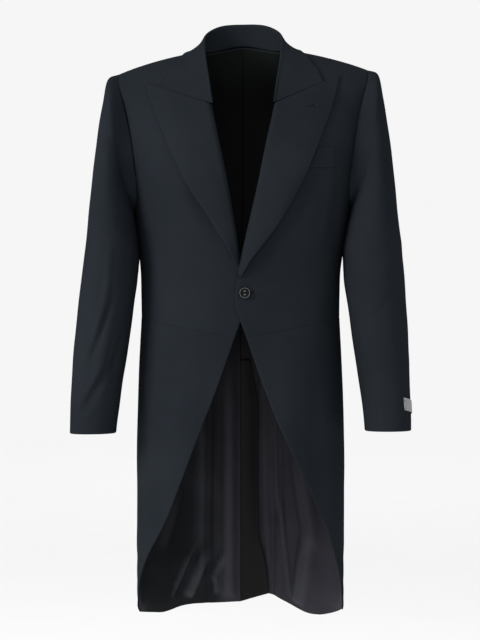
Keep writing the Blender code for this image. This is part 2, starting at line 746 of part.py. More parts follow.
def make_collar():
    """One folded piece from gorge to gorge, with its stand inside and its fall outside."""
    sections = []
    for hand in (RIGHT, LEFT):
        half = []
        for k, (foot, fold, edge) in enumerate(COLLAR):
            half.append(collar_station(foot, fold, edge, hand, k == len(COLLAR) - 1))
        sections += half[::-1] if hand == RIGHT else half[1:]
    wall("collar", trimmed(net_of(sections, RIGHT)), CLOTH, "cloth", RIGHT)


def net_of(sections, hand, closed=False):
    """A net over sections of points, with normals from each point's neighbours."""
    net = []
    count = len(sections[0])
    for j, section in enumerate(sections):
        below, above = sections[max(0, j - 1)], sections[min(len(sections) - 1, j + 1)]
        row = []
        for i, point in enumerate(section):
            if closed:
                across = section[(i + 1) % count] - section[i - 1]
            else:
                across = section[min(count - 1, i + 1)] - section[max(0, i - 1)]
            normal = across.cross(above[i] - below[i]).normalized()
            row.append((point, normal * hand))
        net.append(row)
    return net


def make_welt():
    """The breast pocket's welt, from the lapel's edge outwards on the left chest."""
    net = []
    for t in steps(1):
        z = mix(WELT_BOTTOM, WELT_TOP, t)
        start = read(LAPEL_OUTLINE, z)[1] + WELT_CLEAR
        row = []
        for u in steps(WELT_COLUMNS):
            angle = angle_at(mix(start, WELT_END, u), z)
            normal = skin_normal(angle, z)
            row.append((skin(angle, z) + normal * WELT_LIE, normal))
        net.append(row)
    wall("breast_welt", net, WELT_THICKNESS, "cloth")


# Sleeves

def armhole(hand):
    """The armhole as a ring of points from the shoulder point, forwards and round."""
    front = underarm_seam()[UNDERARM_ROWS:]
    under = side_body_rows()[-1]
    back = side_seam()[UNDERARM_ROWS:]
    places = front[::-1] + under[1:-1] + back[:-1]
    ring = [skin(angle * hand, z) for angle, z in places]
    return [point + Vector((hand * 2 * SEAM_GAP, 0.0, 0.0)) for point in ring]


def sleeve_point(section, turn, hand):
    """A point of a sleeve section; turn is in degrees from its outer side to the front."""
    inner_x, inner_z, outer_x, outer_z, middle_y, depth = section
    a = math.radians(turn)
    out = math.copysign(abs(math.cos(a)) ** (2.0 / SLEEVE_SQUARENESS), math.cos(a))
    fore = math.copysign(abs(math.sin(a)) ** (2.0 / SLEEVE_SQUARENESS), math.sin(a))
    x = mix(inner_x, outer_x, (1.0 + out) / 2.0)
    z = mix(inner_z, outer_z, (1.0 + out) / 2.0)
    return Vector((x * hand, middle_y - depth * fore, z))


def make_sleeve(hand):
    ring = armhole(hand)
    count = len(ring)
    sections = [ring]
    for section in SLEEVE:
        sections.append([sleeve_point(section, 360.0 * i / count, hand) for i in range(count)])
    net = net_of(sections, hand, closed=True)
    top = [i % count for i in range(HINDARM_SEAM, count + FOREARM_SEAM + 1)]
    under = list(range(FOREARM_SEAM, HINDARM_SEAM + 1))
    side = SIDE_NAMES[hand]
    for name, columns in (("top_sleeve", top), ("under_sleeve", under)):
        panel = [[row[i] for i in columns] for row in net]
        wall(f"{name}_{side}", trimmed(panel), CLOTH, "cloth", hand, hangs=True)


def make_label():
    """A blank label sewn round the outer side of the left cuff."""
    rows = [(row[1], *row) for row in SLEEVE[-4:]]
    sections = []
    for t in steps(1):
        section = []
        for u in steps(LABEL_COLUMNS):
            z = LABEL_TOP - LABEL_HEIGHT * (1.0 - t) - LABEL_DROP * u
            section.append(sleeve_point(read(rows, z), mix(LABEL_FRONT, LABEL_BACK, u), LEFT))
        sections.append(section)
    net = lifted(net_of(sections, LEFT), LABEL_LIE)
    wall("cuff_label", net, LABEL_THICKNESS, "label", LEFT, hangs=True)


# Buttons

def make_button(name, angle, z, lift):
    """A turned button with a raised rim, on the skin with its face outwards."""
    normal = skin_normal(angle, z)
    seat = stand(skin(angle, z) + normal * (lift + SEAM_GAP))
    mesh = bpy.data.meshes.new(name)
    points = [(r * BUTTON_RADIUS, 0.0, h * BUTTON_THICKNESS) for r, h in reversed(BUTTON_PROFILE)]
    mesh.from_pydata(points, [(k, k + 1) for k in range(len(points) - 1)], [])
    piece = add_object(name, mesh, "button")
    turn = piece.modifiers.new("Turn", "SCREW")
    turn.steps = turn.render_steps = BUTTON_SIDES
    turn.use_merge_vertices = True
    turn.merge_threshold = 0.00001
    face = normal.to_track_quat("Z", "Y").to_matrix().to_4x4()
    piece.matrix_world = Matrix.Translation(seat) @ face


clear_scene()
coat = bpy.data.collections.new("morning_coat")
bpy.context.scene.collection.children.link(coat)

for wearer_side in (LEFT, RIGHT):
    make_body(wearer_side)
    make_lapel(wearer_side)
    make_sleeve(wearer_side)
    make_button(f"back_button_{SIDE_NAMES[wearer_side]}",
                (SIDE_SEAM_WAIST + BACK_BUTTON_TURN) * wearer_side, BACK_BUTTON_Z, 0.0)
make_collar()
make_welt()
make_label()
make_button("front_button", angle_at(BUTTON_X, BUTTON_Z), BUTTON_Z, BUTTON_LIFT)
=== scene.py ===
"""Looks of the morning coat.

The tables and the skin are those of the solids, read at a finer pitch. Each cloth piece
is a thin shell with rounded edges on that skin, with its creases, seams and weave.
Metres, +Z up, the wearer faces -Y and the wearer's left is +X. Only the tables inside
metres() are written in millimetres.
"""
import math

import bpy
import numpy as np
from mathutils import Matrix, Vector
from mathutils.bvhtree import BVHTree


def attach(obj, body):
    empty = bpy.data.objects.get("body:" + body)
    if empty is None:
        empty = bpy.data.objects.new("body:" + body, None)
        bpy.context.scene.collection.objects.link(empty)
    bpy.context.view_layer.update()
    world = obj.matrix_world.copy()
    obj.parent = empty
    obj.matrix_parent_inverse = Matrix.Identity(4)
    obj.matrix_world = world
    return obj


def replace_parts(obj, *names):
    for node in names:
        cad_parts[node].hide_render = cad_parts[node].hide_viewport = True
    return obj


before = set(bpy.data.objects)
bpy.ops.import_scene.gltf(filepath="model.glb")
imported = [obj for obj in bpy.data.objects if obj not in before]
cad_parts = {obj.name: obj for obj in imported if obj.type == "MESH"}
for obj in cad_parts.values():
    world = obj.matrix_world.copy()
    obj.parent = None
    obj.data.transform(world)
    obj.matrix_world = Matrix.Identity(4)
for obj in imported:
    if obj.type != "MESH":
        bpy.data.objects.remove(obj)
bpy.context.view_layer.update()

LEFT, RIGHT = 1, -1
SIDE_NAMES = {LEFT: "left", RIGHT: "right"}
SIDE_COLUMN = {RIGHT: 1, LEFT: 2}

# Cloth and sewing
CLOTH, LAPEL_CLOTH, LINING = 0.0020, 0.0024, 0.0010
SEAM_GAP = 0.0003
LINING_DEPTH = CLOTH + 0.0004

# Shoulders and neck
NECK_HALF = 0.075
SHOULDER_SLOPE, SHOULDER_BOW, SHOULDER_END = 0.27, 0.0045, 0.223
CHEST_TOP = -0.25
FRONT_ARCH, BACK_ARCH = 2.0, 2.5
BACK_NECK_RISE, NECK_FALL = 0.0418, 0.0056
BACK_NECK_DEPTH = 0.056
NECK_SEAM_Y, RIDGE_LEVEL_X = 0.010, 0.200

# The wearer's stance: the chest leans to the left and that shoulder is the higher
LEAN, LEAN_TOP, LEAN_END = 0.0045, -0.24, -0.42
SLEEVE_LEAN_TOP, SLEEVE_LEAN_END = -0.34, -0.62
SLEEVE_INSIDE, SLEEVE_OUTSIDE = 0.190, 0.270
TILT, TILT_TOP, TILT_END = 0.018, -0.30, -0.45
SLEEVE_TILT_TOP, SLEEVE_TILT_END = -0.40, -0.95

# Seams that run down the body, as angles
UNDERARM_TOP, UNDERARM_WAIST = (74.0, -0.262), 79.0
SIDE_SEAM_WAIST, SIDE_SEAM_BEND, SIDE_SEAM_TURN = 163.0, 0.55, 0.3
UNDERARM_DIP, UNDERARM_CURVE = 0.030, 1.6
WAIST_SIDE, WAIST_DROP, WAIST_REACH, WAIST_CURVE = -0.481, 0.036, 80.0, 1.3
WAIST_BACK_RISE, WAIST_BACK_START = 0.005, 100.0

# Front fastening
LAP_END, LAP_FADE = -0.520, -0.600
LAP_TOP, LAP_TOP_FADE = -0.375, -0.320
LAP_NEAR_X, LAP_FAR_X = 0.012, 0.050
ROLL_START, ROLL_FULL, ROLL_FADE = -0.432, -0.408, -0.335
LAP_LIFT, ROLL_LIFT = 0.0034, 0.0032
BUTTON_RADIUS, BUTTON_THICKNESS = 0.0100, 0.0036
BUTTON_X, BUTTON_Z, BUTTON_LIFT = 0.0073, -0.439, 0.0043
BACK_BUTTON_Z, BACK_BUTTON_TURN = -0.460, 4.0

# Lapels
ROLL_TOP = (0.0565, -0.107)
ROLL_FOOT = {LEFT: (-0.0045, -0.4110), RIGHT: (-0.0005, -0.4020)}
LAPEL_FOOT = {LEFT: (0.0010, -0.4115), RIGHT: (0.0020, -0.4030)}
LAPEL_TIP = {LEFT: (0.1707, -0.0570), RIGHT: (0.1720, -0.0655)}
LAPEL_LIE, LAPEL_ROLL, LAPEL_EDGE = 0.0041, 0.0076, 0.0042
LAPEL_SWELL_FULL = 0.35

# Collar
COLLAR_LIE = 0.0036
FOLD_RADIUS, GORGE_FOLD_RADIUS = 0.0030, 0.0012
FOLD_DROP, FOLD_WIDTH = 0.7, 0.8
STAND_BEND = 0.0004

# Vent: the left tail laps over the right one
UNDERLAP_DROP, UNDERLAP_START = 0.0041, -0.530
VENT_FROM, VENT_FULL, VENT_TOP = 163.0, 175.0, -0.480

# Breast pocket welt and cuff label
WELT_TOP, WELT_BOTTOM, WELT_END = -0.187, -0.222, 0.1600
WELT_THICKNESS, WELT_LIE, WELT_CLEAR = 0.0016, 0.0021, 0.0020
LABEL_FRONT, LABEL_BACK = 54.0, -32.0
LABEL_TOP, LABEL_HEIGHT, LABEL_DROP = -0.6243, 0.0212, 0.0130
LABEL_THICKNESS, LABEL_LIE = 0.0010, 0.0020

# Cells of the nets
FRONT_COLUMNS, SIDE_COLUMNS, NECK_COLUMNS, UNDERLAP_COLUMNS = 8, 6, 3, 2
UNDERARM_ROWS, SKIRT_ROWS, ROW_SLOWING = 5, 10, 1.6
LAPEL_ROWS, LAPEL_COLUMNS, COLLAR_FALL = 12, 6, 4
WELT_COLUMNS, LABEL_COLUMNS = 3, 6


def metres(rows, keep=()):
    """A table written in millimetres. The columns to keep hold no lengths."""
    return tuple(tuple(v if k in keep else v / 1000.0 for k, v in enumerate(row)) for row in rows)


# Body sections: height, half width, front depth, back depth, squareness
BODY = metres((
    (60, 272.5, 90, 105, 2.70),
    (0, 272.5, 96, 114, 2.70),
    (-63, 272.5, 104, 124, 2.70),
    (-100, 235, 110, 128, 2.70),
    (-150, 218.6, 118, 131, 2.70),
    (-190, 209.5, 123, 131, 2.70),
    (-240, 198, 128, 129, 2.70),
    (-285, 194.5, 128, 124, 2.65),
    (-340, 187, 125, 115, 2.55),
    (-400, 179.5, 120, 106, 2.45),
    (-484, 178, 120, 105, 2.40),
    (-560, 182, 126, 118, 2.35),
    (-630, 184.5, 130, 130, 2.30),
    (-720, 187, 132, 138, 2.30),
    (-810, 187, 131, 141, 2.30),
    (-920, 186.3, 129, 143, 2.30),
    (-1040, 185, 127, 145, 2.30),
), keep=(4,))

# Soft flutes of the skirts and tails: angle, half width in degrees, top, depth at the hem
FLUTES = metres((
    (80.0, 18.0, -560, -3), (106.0, 17.0, -600, 5), (132.0, 16.0, -580, -5),
    (155.0, 13.0, -600, 3.5),
), keep=(0, 1))
HEM_LEVEL = -1.02
HEM_CORNER = {LEFT: -1.013, RIGHT: -1.018}

# Front edge of the armhole, from the shoulder point down: height, x
ARMHOLE_FRONT = metres((
    (-40, 223), (-45, 223), (-54, 222.5), (-68, 220), (-88, 214), (-115, 207.5), (-150, 200.5),
    (-190, 194), (-228, 190), (-262, 189.8),
))
# Back edge of the armhole, from the shoulder point down: height, x
ARMHOLE_BACK = metres((
    (-40, 223), (-42.5, 222), (-49, 219), (-60, 214), (-76, 207.5), (-98, 200), (-125, 194),
    (-155, 189.5), (-185, 186.5), (-212, 186),
))
# Front neckline and roll line of the forepart, from the neck point down: height, x
FRONT_EDGE = metres((
    (0, 75), (-3, 74.7), (-11, 73.7), (-24, 72), (-45, 69.2), (-75, 64.5), (-112, 56),
    (-160, 46.4), (-210, 36.4), (-260, 26.4), (-310, 16.4), (-360, 6.4), (-411, -4),
    (-460, -8.3), (-517, 10.5),
))
# Cutaway edge: height, angle on the right side, angle on the left side
CUTAWAY = metres((
    (-510, 2.2, 1.9), (-560, 5.6, 6.0), (-620, 12.4, 11.8), (-680, 19.2, 19.6),
    (-740, 26.7, 29.3), (-800, 35.6, 41.0), (-860, 46.9, 53.3), (-900, 59.0, 61.0),
    (-930, 71.0, 70.5), (-960, 83.0, 82.0), (-985, 90.0, 90.0), (-1003, 97.0, 97.0),
    (-1018, 105.0, 104.0),
), keep=(1, 2))
# Hem: angle, height on the right side, height on the left side
HEM = metres((
    (104.0, -1017, -1012), (110.0, -1020, -1017.8), (120.0, -1023.6, -1025.8),
    (129.0, -1025.8, -1030.2), (137.0, -1023.5, -1030.6), (146.0, -1018.7, -1025.5),
    (157.0, -1016, -1011.5), (165.0, -1015.3, -999), (180.0, -1012.7, -990),
), keep=(0,))
# Underlap of the right tail: height, how far it runs past centre back
UNDERLAP = metres(((-530, 4), (-600, 31), (-880, 34.1), (-947, 48.9), (-1000, 54.4)))
UNDERLAP_HEM_RISE, UNDERLAP_HEM_FROM = 0.0165, 0.8

# Outer edge of the lapels: height, x on the right side, x on the left side
LAPEL_OUTLINE = metres((
    (-110, 157.2, 158), (-169, 134.5, 135), (-220, 110.5, 113.7), (-264, 86.8, 92.5),
    (-299, 63, 74), (-334, 39.5, 52.2), (-369, 16.5, 25.2), (-395, 4.5, 7),
))

# Collar stations from centre back to the gorge: foot of the stand, fold, then the outer
# edge of the fall as x, share of the way up to the shoulder ridge, and side
COLLAR = metres((
    (0, 64.5, 15.5, 0, 57, 54.7, 0, 0.843, "back"),
    (19, 62.8, 13.8, 18, 55.7, 54.4, 24, 0.864, "back"),
    (36, 57.6, 9.2, 34.5, 51.5, 52.5, 46, 0.912, "back"),
    (50, 50, 5, 48, 44.5, 48, 64, 0.956, "back"),
    (61, 40.8, 2.5, 59, 35, 41.4, 79, 0.971, "back"),
    (69.2, 28, 1.8, 66.2, 22.5, 34.2, 90, 0.980, "back"),
    (73, 11, 1.5, 69, 9, 26.5, 98, 1.000, "back"),
    (72.7, -6, -3, 69.7, -4.5, 18, 105.5, 0.985, "front"),
    (70.8, -22, -9.5, 69.7, -19, 7.5, 113, 0.950, "front"),
    (66.4, -53, -43, 67.8, -50, -24, 124, 0.893, "front"),
    (61.6, -73, -73, 63.7, -73.5, -61, 131, 0.859, "front"),
    (55.2, -91, -105, 57.2, -95, -103.5, 141.5, 0.840, "front"),
), keep=(7, 8))
# How far inwards the fold rolls at the last stations, down to the gorge
FOLD_ROLL = (0.0010, 0.0028, 0.0036)

# Sleeve sections below the armhole: inner x and height, outer x and height, middle y, half depth
SLEEVE = metres((
    (198.2, -297, 242.8, -50, -2, 74),
    (195.5, -312, 251.5, -92, -6, 80),
    (190.7, -331, 260, -150, -14, 84),
    (187, -354, 267.5, -215, -24, 85),
    (183.6, -382, 273.5, -285, -34, 83),
    (183.8, -415, 280.8, -360, -42, 79),
    (189.2, -456, 289, -440, -47, 74),
    (197.8, -522, 295.2, -520, -53, 67),
    (208.5, -594, 298.8, -594, -60, 59),
    (216.5, -655, 300.2, -655, -68, 52),
    (219, -682, 300.5, -682, -72, 49),
))
SLEEVE_SQUARENESS = 2.2
FOREARM_SEAM, HINDARM_SEAM = 8, 19


def mix(a, b, t):
    return a + (b - a) * t


def ease(start, end, value):
    """0 at start, 1 at end, with a soft turn at both."""
    t = max(0.0, min(1.0, (value - start) / (end - start)))
    return t * t * (3.0 - 2.0 * t)


def steps(count):
    return [k / count for k in range(count + 1)]


def slowing(count):
    """Steps that shorten towards 1."""
    return [1.0 - (1.0 - t) ** ROW_SLOWING for t in steps(count)]


def read(table, key):
    """The columns of a table at a key, on a curve that never overshoots its rows."""
    rows = sorted(table)
    key = max(rows[0][0], min(rows[-1][0], key))
    low = max(k for k in range(len(rows) - 1) if rows[k][0] <= key)
    span = rows[low + 1][0] - rows[low][0]
    t = (key - rows[low][0]) / span
    values = []
    for column in range(1, len(rows[0])):
        def rate(k):
            return (rows[k + 1][column] - rows[k][column]) / (rows[k + 1][0] - rows[k][0])

        def tangent(k):
            if k in (0, len(rows) - 1):
                return rate(min(k, len(rows) - 2))
            before, after = rate(k - 1), rate(k)
            return 2.0 * before * after / (before + after) if before * after > 0 else 0.0

        start, end = rows[low][column], rows[low + 1][column]
        rise, fall = tangent(low) * span, tangent(low + 1) * span
        curve = start + rise * t + (3 * (end - start) - 2 * rise - fall) * t ** 2
        values.append(curve + (2 * (start - end) + rise + fall) * t ** 3)
    return values


def by_side(table, key, hand):
    """The right or left column of a table at a key."""
    return read(table, key)[SIDE_COLUMN[hand] - 1]


# The skin of the body

def ridge_height(x):
    """Height of the shoulder line over x, and of its run across the back of the neck."""
    x = abs(x)
    if x < NECK_HALF:
        inside = 1.0 - (x / NECK_HALF) ** 2
        return NECK_FALL * inside + (BACK_NECK_RISE - NECK_FALL) * inside ** 2
    out = min(1.0, (x - NECK_HALF) / (SHOULDER_END - NECK_HALF))
    return SHOULDER_BOW * 4.0 * out * (1.0 - out) - SHOULDER_SLOPE * (x - NECK_HALF)


def ridge_depth(x):
    share = (RIDGE_LEVEL_X - abs(x)) / (RIDGE_LEVEL_X - NECK_HALF)
    return NECK_SEAM_Y * max(0.0, min(1.0, share))


def ridge_to_height(x, share):
    """The height of a point that is a share of the way from the chest to the ridge."""
    return mix(CHEST_TOP, ridge_height(x), share)


def flute(angle, z):
    out = 0.0
    for middle, half, top, depth in FLUTES:
        across = max(0.0, 1.0 - ((abs(angle) - middle) / half) ** 2) ** 2
        out += depth * across * ease(top, HEM_LEVEL, z)
    return out


def plain_skin(angle, z):
    """A point of the skin before it is fluted."""
    angle = (angle + 180.0) % 360.0 - 180.0
    half, front, back, square = read(BODY, z)
    turn = math.radians(abs(angle))
    x = half * math.sin(turn) ** (2.0 / square)
    reach = abs(math.cos(turn)) ** (2.0 / square)
    y = -front * reach if abs(angle) <= 90.0 else back * reach
    if z > CHEST_TOP:
        share = min(1.0, (z - CHEST_TOP) / (ridge_height(x) - CHEST_TOP))
        arch = FRONT_ARCH if abs(angle) <= 90.0 else BACK_ARCH
        y = mix(ridge_depth(x), y, (1.0 - share ** arch) ** (1.0 / arch))
    return Vector((math.copysign(x, angle), y, z))


def skin_normal(angle, z):
    """The outward normal of the plain skin. On the shoulder ridge it points up."""
    x = plain_skin(angle, z).x
    if z > ridge_height(x) - 1e-6:
        return Vector((math.copysign(SHOULDER_SLOPE, x), 0.0, 1.0)).normalized()
    lower, upper = z - 0.002, min(z + 0.002, ridge_height(x) - 1e-5)
    across = plain_skin(angle + 1.0, z) - plain_skin(angle - 1.0, z)
    along = plain_skin(angle, upper) - plain_skin(angle, lower)
    return across.cross(along).normalized()


def skin(angle, z):
    """A point of the outer skin at an angle and a height."""
    return plain_skin(angle, z) + skin_normal(angle, z) * flute(angle, z)


def off_skin(angle, z, out):
    """A point lifted off the skin, and the skin's normal there."""
    normal = skin_normal(angle, z)
    return skin(angle, z) + normal * out, normal


def angle_at(x, z):
    """The angle at which the front of the skin passes x."""
    half, _, _, square = read(BODY, z)
    turn = math.degrees(math.asin(min(1.0, abs(x) / half) ** (square / 2.0)))
    return math.copysign(turn, x)


def stand(point, hangs=False):
    """Lean and tilt a point with the wearer. A sleeve hangs from its shoulder."""
    x, y, z = point
    lean, tilt = ease(LEAN_END, LEAN_TOP, z), ease(TILT_END, TILT_TOP, z)
    if hangs:
        outside = ease(SLEEVE_INSIDE, SLEEVE_OUTSIDE, abs(x))
        lean = mix(lean, ease(SLEEVE_LEAN_END, SLEEVE_LEAN_TOP, z), outside)
        tilt = ease(SLEEVE_TILT_END, SLEEVE_TILT_TOP, z)
    return Vector((x + LEAN * lean, y, z + TILT * tilt * x))


# Nets, as arrays of rows, columns and six numbers: a point and its normal

def packed(net):
    return np.array([[[*point, *normal] for point, normal in row] for row in net])


def body_net(rows, hand, lift=None):
    """A net over rows of (angle, height), lifted off the skin by lift(angle, height)."""
    return packed([[off_skin(angle * hand, z, lift(angle, z) if lift else 0.0) for angle, z in row]
                   for row in rows])


def net_of(sections, hand, closed=False):
    """A net over sections of points, with normals from each point's neighbours."""
    net = []
    count = len(sections[0])
    for j, section in enumerate(sections):
        below, above = sections[max(0, j - 1)], sections[min(len(sections) - 1, j + 1)]
        row = []
        for i, point in enumerate(section):
            after, before = min(count - 1, i + 1), max(0, i - 1)
            if closed:
                after, before = (i + 1) % count, i - 1
            normal = (section[after] - section[before]).cross(above[i] - below[i]).normalized()
            row.append((point, normal * hand))
        net.append(row)
    return packed(net)


# Seams of the body

def waist_height(angle):
    """The waist seam: lowest at centre front, level round the sides and the back."""
    angle = abs(angle)
    drop = WAIST_DROP * max(0.0, 1.0 - angle / WAIST_REACH) ** WAIST_CURVE
    return WAIST_SIDE - drop + WAIST_BACK_RISE * ease(WAIST_BACK_START, 180.0, angle)


def underarm_seam():
    """Places up the underarm seam and on up the front of the armhole."""
    low = waist_height(UNDERARM_WAIST)
    top_angle, top = UNDERARM_TOP
    seam = [(mix(UNDERARM_WAIST, top_angle, t), mix(low, top, t)) for t in steps(UNDERARM_ROWS)]
    return seam[:-1] + [(angle_at(x, z), z) for z, x in reversed(ARMHOLE_FRONT)]


def side_seam():
    """Places up the curved seam of the back and on up the back of the armhole."""
    low = waist_height(SIDE_SEAM_WAIST)
    edge = [(180.0 - angle_at(x, z), z) for z, x in reversed(ARMHOLE_BACK)]
    top_angle, top = edge[0]
    seam = []
    for t in steps(UNDERARM_ROWS)[:-1]:
        bend = t + SIDE_SEAM_BEND * t * (1.0 - t) * (2.0 * (t - SIDE_SEAM_TURN))
        seam.append((mix(SIDE_SEAM_WAIST, top_angle, bend), mix(low, top, t)))
    return seam + edge


def lap(hand):
    """How far a front lies off the skin: the left one laps over the right."""
    def lift(angle, z):
        if hand == RIGHT:
            return 0.0
        near = 1.0 - ease(LAP_NEAR_X, LAP_FAR_X, skin(angle, z).x)
        height = ease(LAP_FADE, LAP_END, z) * (1.0 - ease(LAP_TOP, LAP_TOP_FADE, z))
        roll = ROLL_LIFT * ease(ROLL_START, ROLL_FULL, z) * (1.0 - ease(LAP_TOP, ROLL_FADE, z))
        return near * (LAP_LIFT * height + roll)
    return lift


def vent(hand):
    """How far a tail lies under the skin: the right one passes under the left."""
    def lift(angle, z):
        if hand == LEFT:
            return 0.0
        under = ease(VENT_FROM, VENT_FULL, angle) * ease(VENT_TOP, UNDERLAP_START, z)
        return -UNDERLAP_DROP * under
    return lift


# Rows of the panels

def up_share(seam, place):
    """How far up a seam one of its places is."""
    return (place[1] - seam[0][1]) / (seam[-1][1] - seam[0][1])


def forepart_rows():
    medial = [(angle_at(x, z), z) for z, x in reversed(FRONT_EDGE)]
    lateral = underarm_seam()
    columns = []
    for w in steps(FRONT_COLUMNS):
        top = mix(medial[-1][0], lateral[-1][0], w)
        bottom = mix(medial[0][0], lateral[0][0], w)
        columns.append((w, waist_height(bottom), ridge_height(skin(top, lateral[-1][1]).x)))
    rows = []
    for inner, outer in zip(medial, lateral):
        up_inner, up_outer = up_share(medial, inner), up_share(lateral, outer)
        rows.append([(mix(inner[0], outer[0], w), mix(low, high, mix(up_inner, up_outer, w)))
                     for w, low, high in columns])
    return rows


def side_body_rows():
    front = underarm_seam()[:UNDERARM_ROWS + 1]
    back = side_seam()[:UNDERARM_ROWS + 1]
    rows = []
    for j, t in enumerate(steps(UNDERARM_ROWS)):
        row = []
        for u in steps(SIDE_COLUMNS):
            low = waist_height(mix(front[0][0], back[0][0], u))
            top = mix(front[-1][1], back[-1][1], u ** UNDERARM_CURVE)
            top -= UNDERARM_DIP * math.sin(math.pi * u)
            row.append((mix(front[j][0], back[j][0], u), mix(low, top, t)))
        rows.append(row)
    return rows


def back_neck(x):
    """The place on the back neckline over x, whose plan is a quarter of an oval."""
    y = NECK_SEAM_Y + BACK_NECK_DEPTH * math.sqrt(max(0.0, 1.0 - (x / NECK_HALF) ** 2))
    low, high = CHEST_TOP, ridge_height(x)
    for _ in range(40):
        middle = (low + high) / 2.0
        if skin(180.0 - angle_at(x, middle), middle).y > y:
            low = middle
        else:
            high = middle
    return 180.0 - angle_at(x, low), low


def back_rows():
    """Rows from the waist up, from the side seam to centre back."""
    lateral = side_seam()
    top = [(180.0 - angle, z) for angle, z in reversed(forepart_rows()[-1])]
    for k in range(1, NECK_COLUMNS + 1):
        top.append(back_neck(NECK_HALF * math.cos(math.pi / 2 * k / NECK_COLUMNS)))
    shares = [(angle - top[0][0]) / (180.0 - top[0][0]) for angle, _ in top]
    rows = []
    for place, centre in zip(lateral, slowing(len(lateral) - 1)):
        up = up_share(lateral, place)
        row = []
        for w, (_, high) in zip(shares, top):
            low = waist_height(mix(lateral[0][0], 180.0, w))
            row.append((mix(place[0], 180.0, w), mix(low, high, mix(up, centre, w))))
        rows.append(row)
    rows[-1] = top
    return rows


def skirt_rows(hand):
    """Rows from the hem up, from the cutaway edge to the side pleat."""
    seam = forepart_rows()[0][:-1] + side_body_rows()[0]
    first, last = seam[0][0], seam[-1][0]
    corner = HEM_CORNER[hand]
    corner_angle = by_side(CUTAWAY, corner, hand)
    rows = []
    for t in slowing(SKIRT_ROWS):
        edge = by_side(CUTAWAY, mix(seam[0][1], corner, t), hand) if t > 0.0 else first
        row = []
        for angle, top in seam:
            share = (angle - first) / (last - first)
            hem = by_side(HEM, mix(corner_angle, last, share), hand)
            row.append((mix(edge, last, share), mix(top, hem, t)))
        rows.append(row)
    return rows[::-1]


def tail_rows(hand):
    """Rows from the hem up, from the side pleat to centre back."""
    seam = [(angle, top, by_side(HEM, angle, hand)) for angle, top in back_rows()[0]]
    return [[(angle, mix(top, hem, t)) for angle, top, hem in seam]
            for t in reversed(slowing(SKIRT_ROWS))]


def underlap_rows():
    """Rows from the hem up, from centre back to the edge of the right tail's extension."""
    rows = []
    for t, tail in zip(reversed(slowing(SKIRT_ROWS)), tail_rows(RIGHT)):
        row = [tail[-1]]
        for share in steps(UNDERLAP_COLUMNS)[1:]:
            z = tail[-1][1] + UNDERLAP_HEM_RISE * share * ease(UNDERLAP_HEM_FROM, 1.0, t)
            row.append((180.0 + angle_at(read(UNDERLAP, z)[0] * share, z), z))
        if z <= UNDERLAP_START:
            rows.append(row)
    return rows


# Lapels, collar and sleeves

def gorge_height(x, hand):
    """The gorge seam, straight from the top of the roll line to the lapel's tip."""
    tip_x, tip_z = LAPEL_TIP[hand]
    return mix(ROLL_TOP[1], tip_z, (x - ROLL_TOP[0]) / (tip_x - ROLL_TOP[0]))


def along(points, share):
    """The point at a share of the length of a line of points."""
    lengths = [math.dist(a, b) for a, b in zip(points, points[1:])]
    left = share * sum(lengths)
    for a, b, length in zip(points, points[1:], lengths):
        if left <= length:
            return tuple(mix(p, q, left / length) for p, q in zip(a, b))
        left -= length
    return points[-1]


def collar_station(station, roll, hand, last):
    """One section of the collar: up the stand, over the fold and down the fall."""
    foot, fold = Vector(station[:3]), Vector(station[3:6]) - Vector((roll, 0.0, 0.0))
    x, share, where = station[6:]
    start_z = min(foot.z, ridge_height(foot.x)) if where == "front" else foot.z
    start_share = min(1.0, (start_z - CHEST_TOP) / (ridge_height(foot.x) - CHEST_TOP))

    def place(x, z):
        return (angle_at(x, z) if where == "front" else 180.0 - angle_at(x, z)), z

    away = skin(*place(x, ridge_to_height(x, share))) - foot
    away = Vector((x - foot.x, away.y, 0.0)).normalized()
    radius = GORGE_FOLD_RADIUS if last else FOLD_RADIUS
    down, wide = Vector((0.0, 0.0, radius * FOLD_DROP)), away * radius * FOLD_WIDTH
    points = [foot, foot.lerp(fold, 0.5) - away * STAND_BEND]
    points += [fold - down - wide, fold, fold - down + wide]
    for v in steps(COLLAR_FALL)[1:]:
        here_x = mix(foot.x, x, v)
        z = ridge_to_height(here_x, mix(start_share, share, v))
        if last:
            z = gorge_height(here_x, hand) + 3 * SEAM_GAP
        rest = (1.0 - v) ** 2
        base, _ = off_skin(*place(here_x, z), COLLAR_LIE * (1.0 - rest))
        points.append(base + (fold - foot) * rest)
    return [Vector((p.x * hand, p.y, p.z)) for p in points]


def armhole(hand):
    """The armhole as a ring of points from the shoulder point, forwards and round."""
    front, back = underarm_seam()[UNDERARM_ROWS:], side_seam()[UNDERARM_ROWS:]
    places = front[::-1] + side_body_rows()[-1][1:-1] + back[:-1]
    gap = Vector((hand * 2 * SEAM_GAP, 0.0, 0.0))
    return [skin(angle * hand, z) + gap for angle, z in places]


def squared(value):
    return math.copysign(abs(value) ** (2.0 / SLEEVE_SQUARENESS), value)


def sleeve_point(section, turn, hand):
    """A point of a sleeve section; turn is in degrees from its outer side to the front."""
    inner_x, inner_z, outer_x, outer_z, middle_y, depth = section
    out = (1.0 + squared(math.cos(math.radians(turn)))) / 2.0
    y = middle_y - depth * squared(math.sin(math.radians(turn)))
    return Vector((mix(inner_x, outer_x, out) * hand, y, mix(inner_z, outer_z, out)))


# Fine surfaces

PITCH, LINING_PITCH, SLEEVE_PITCH, COLLAR_PITCH, SMALL_PITCH = 0.006, 0.003, 0.004, 0.005, 0.004
EDGE = 0.0012
SEAM_SINK = 0.0004


def soft(t):
    """A share kept between 0 and 1, with a soft turn at both."""
    t = np.clip(t, 0.0, 1.0)
    return t * t * (3.0 - 2.0 * t)


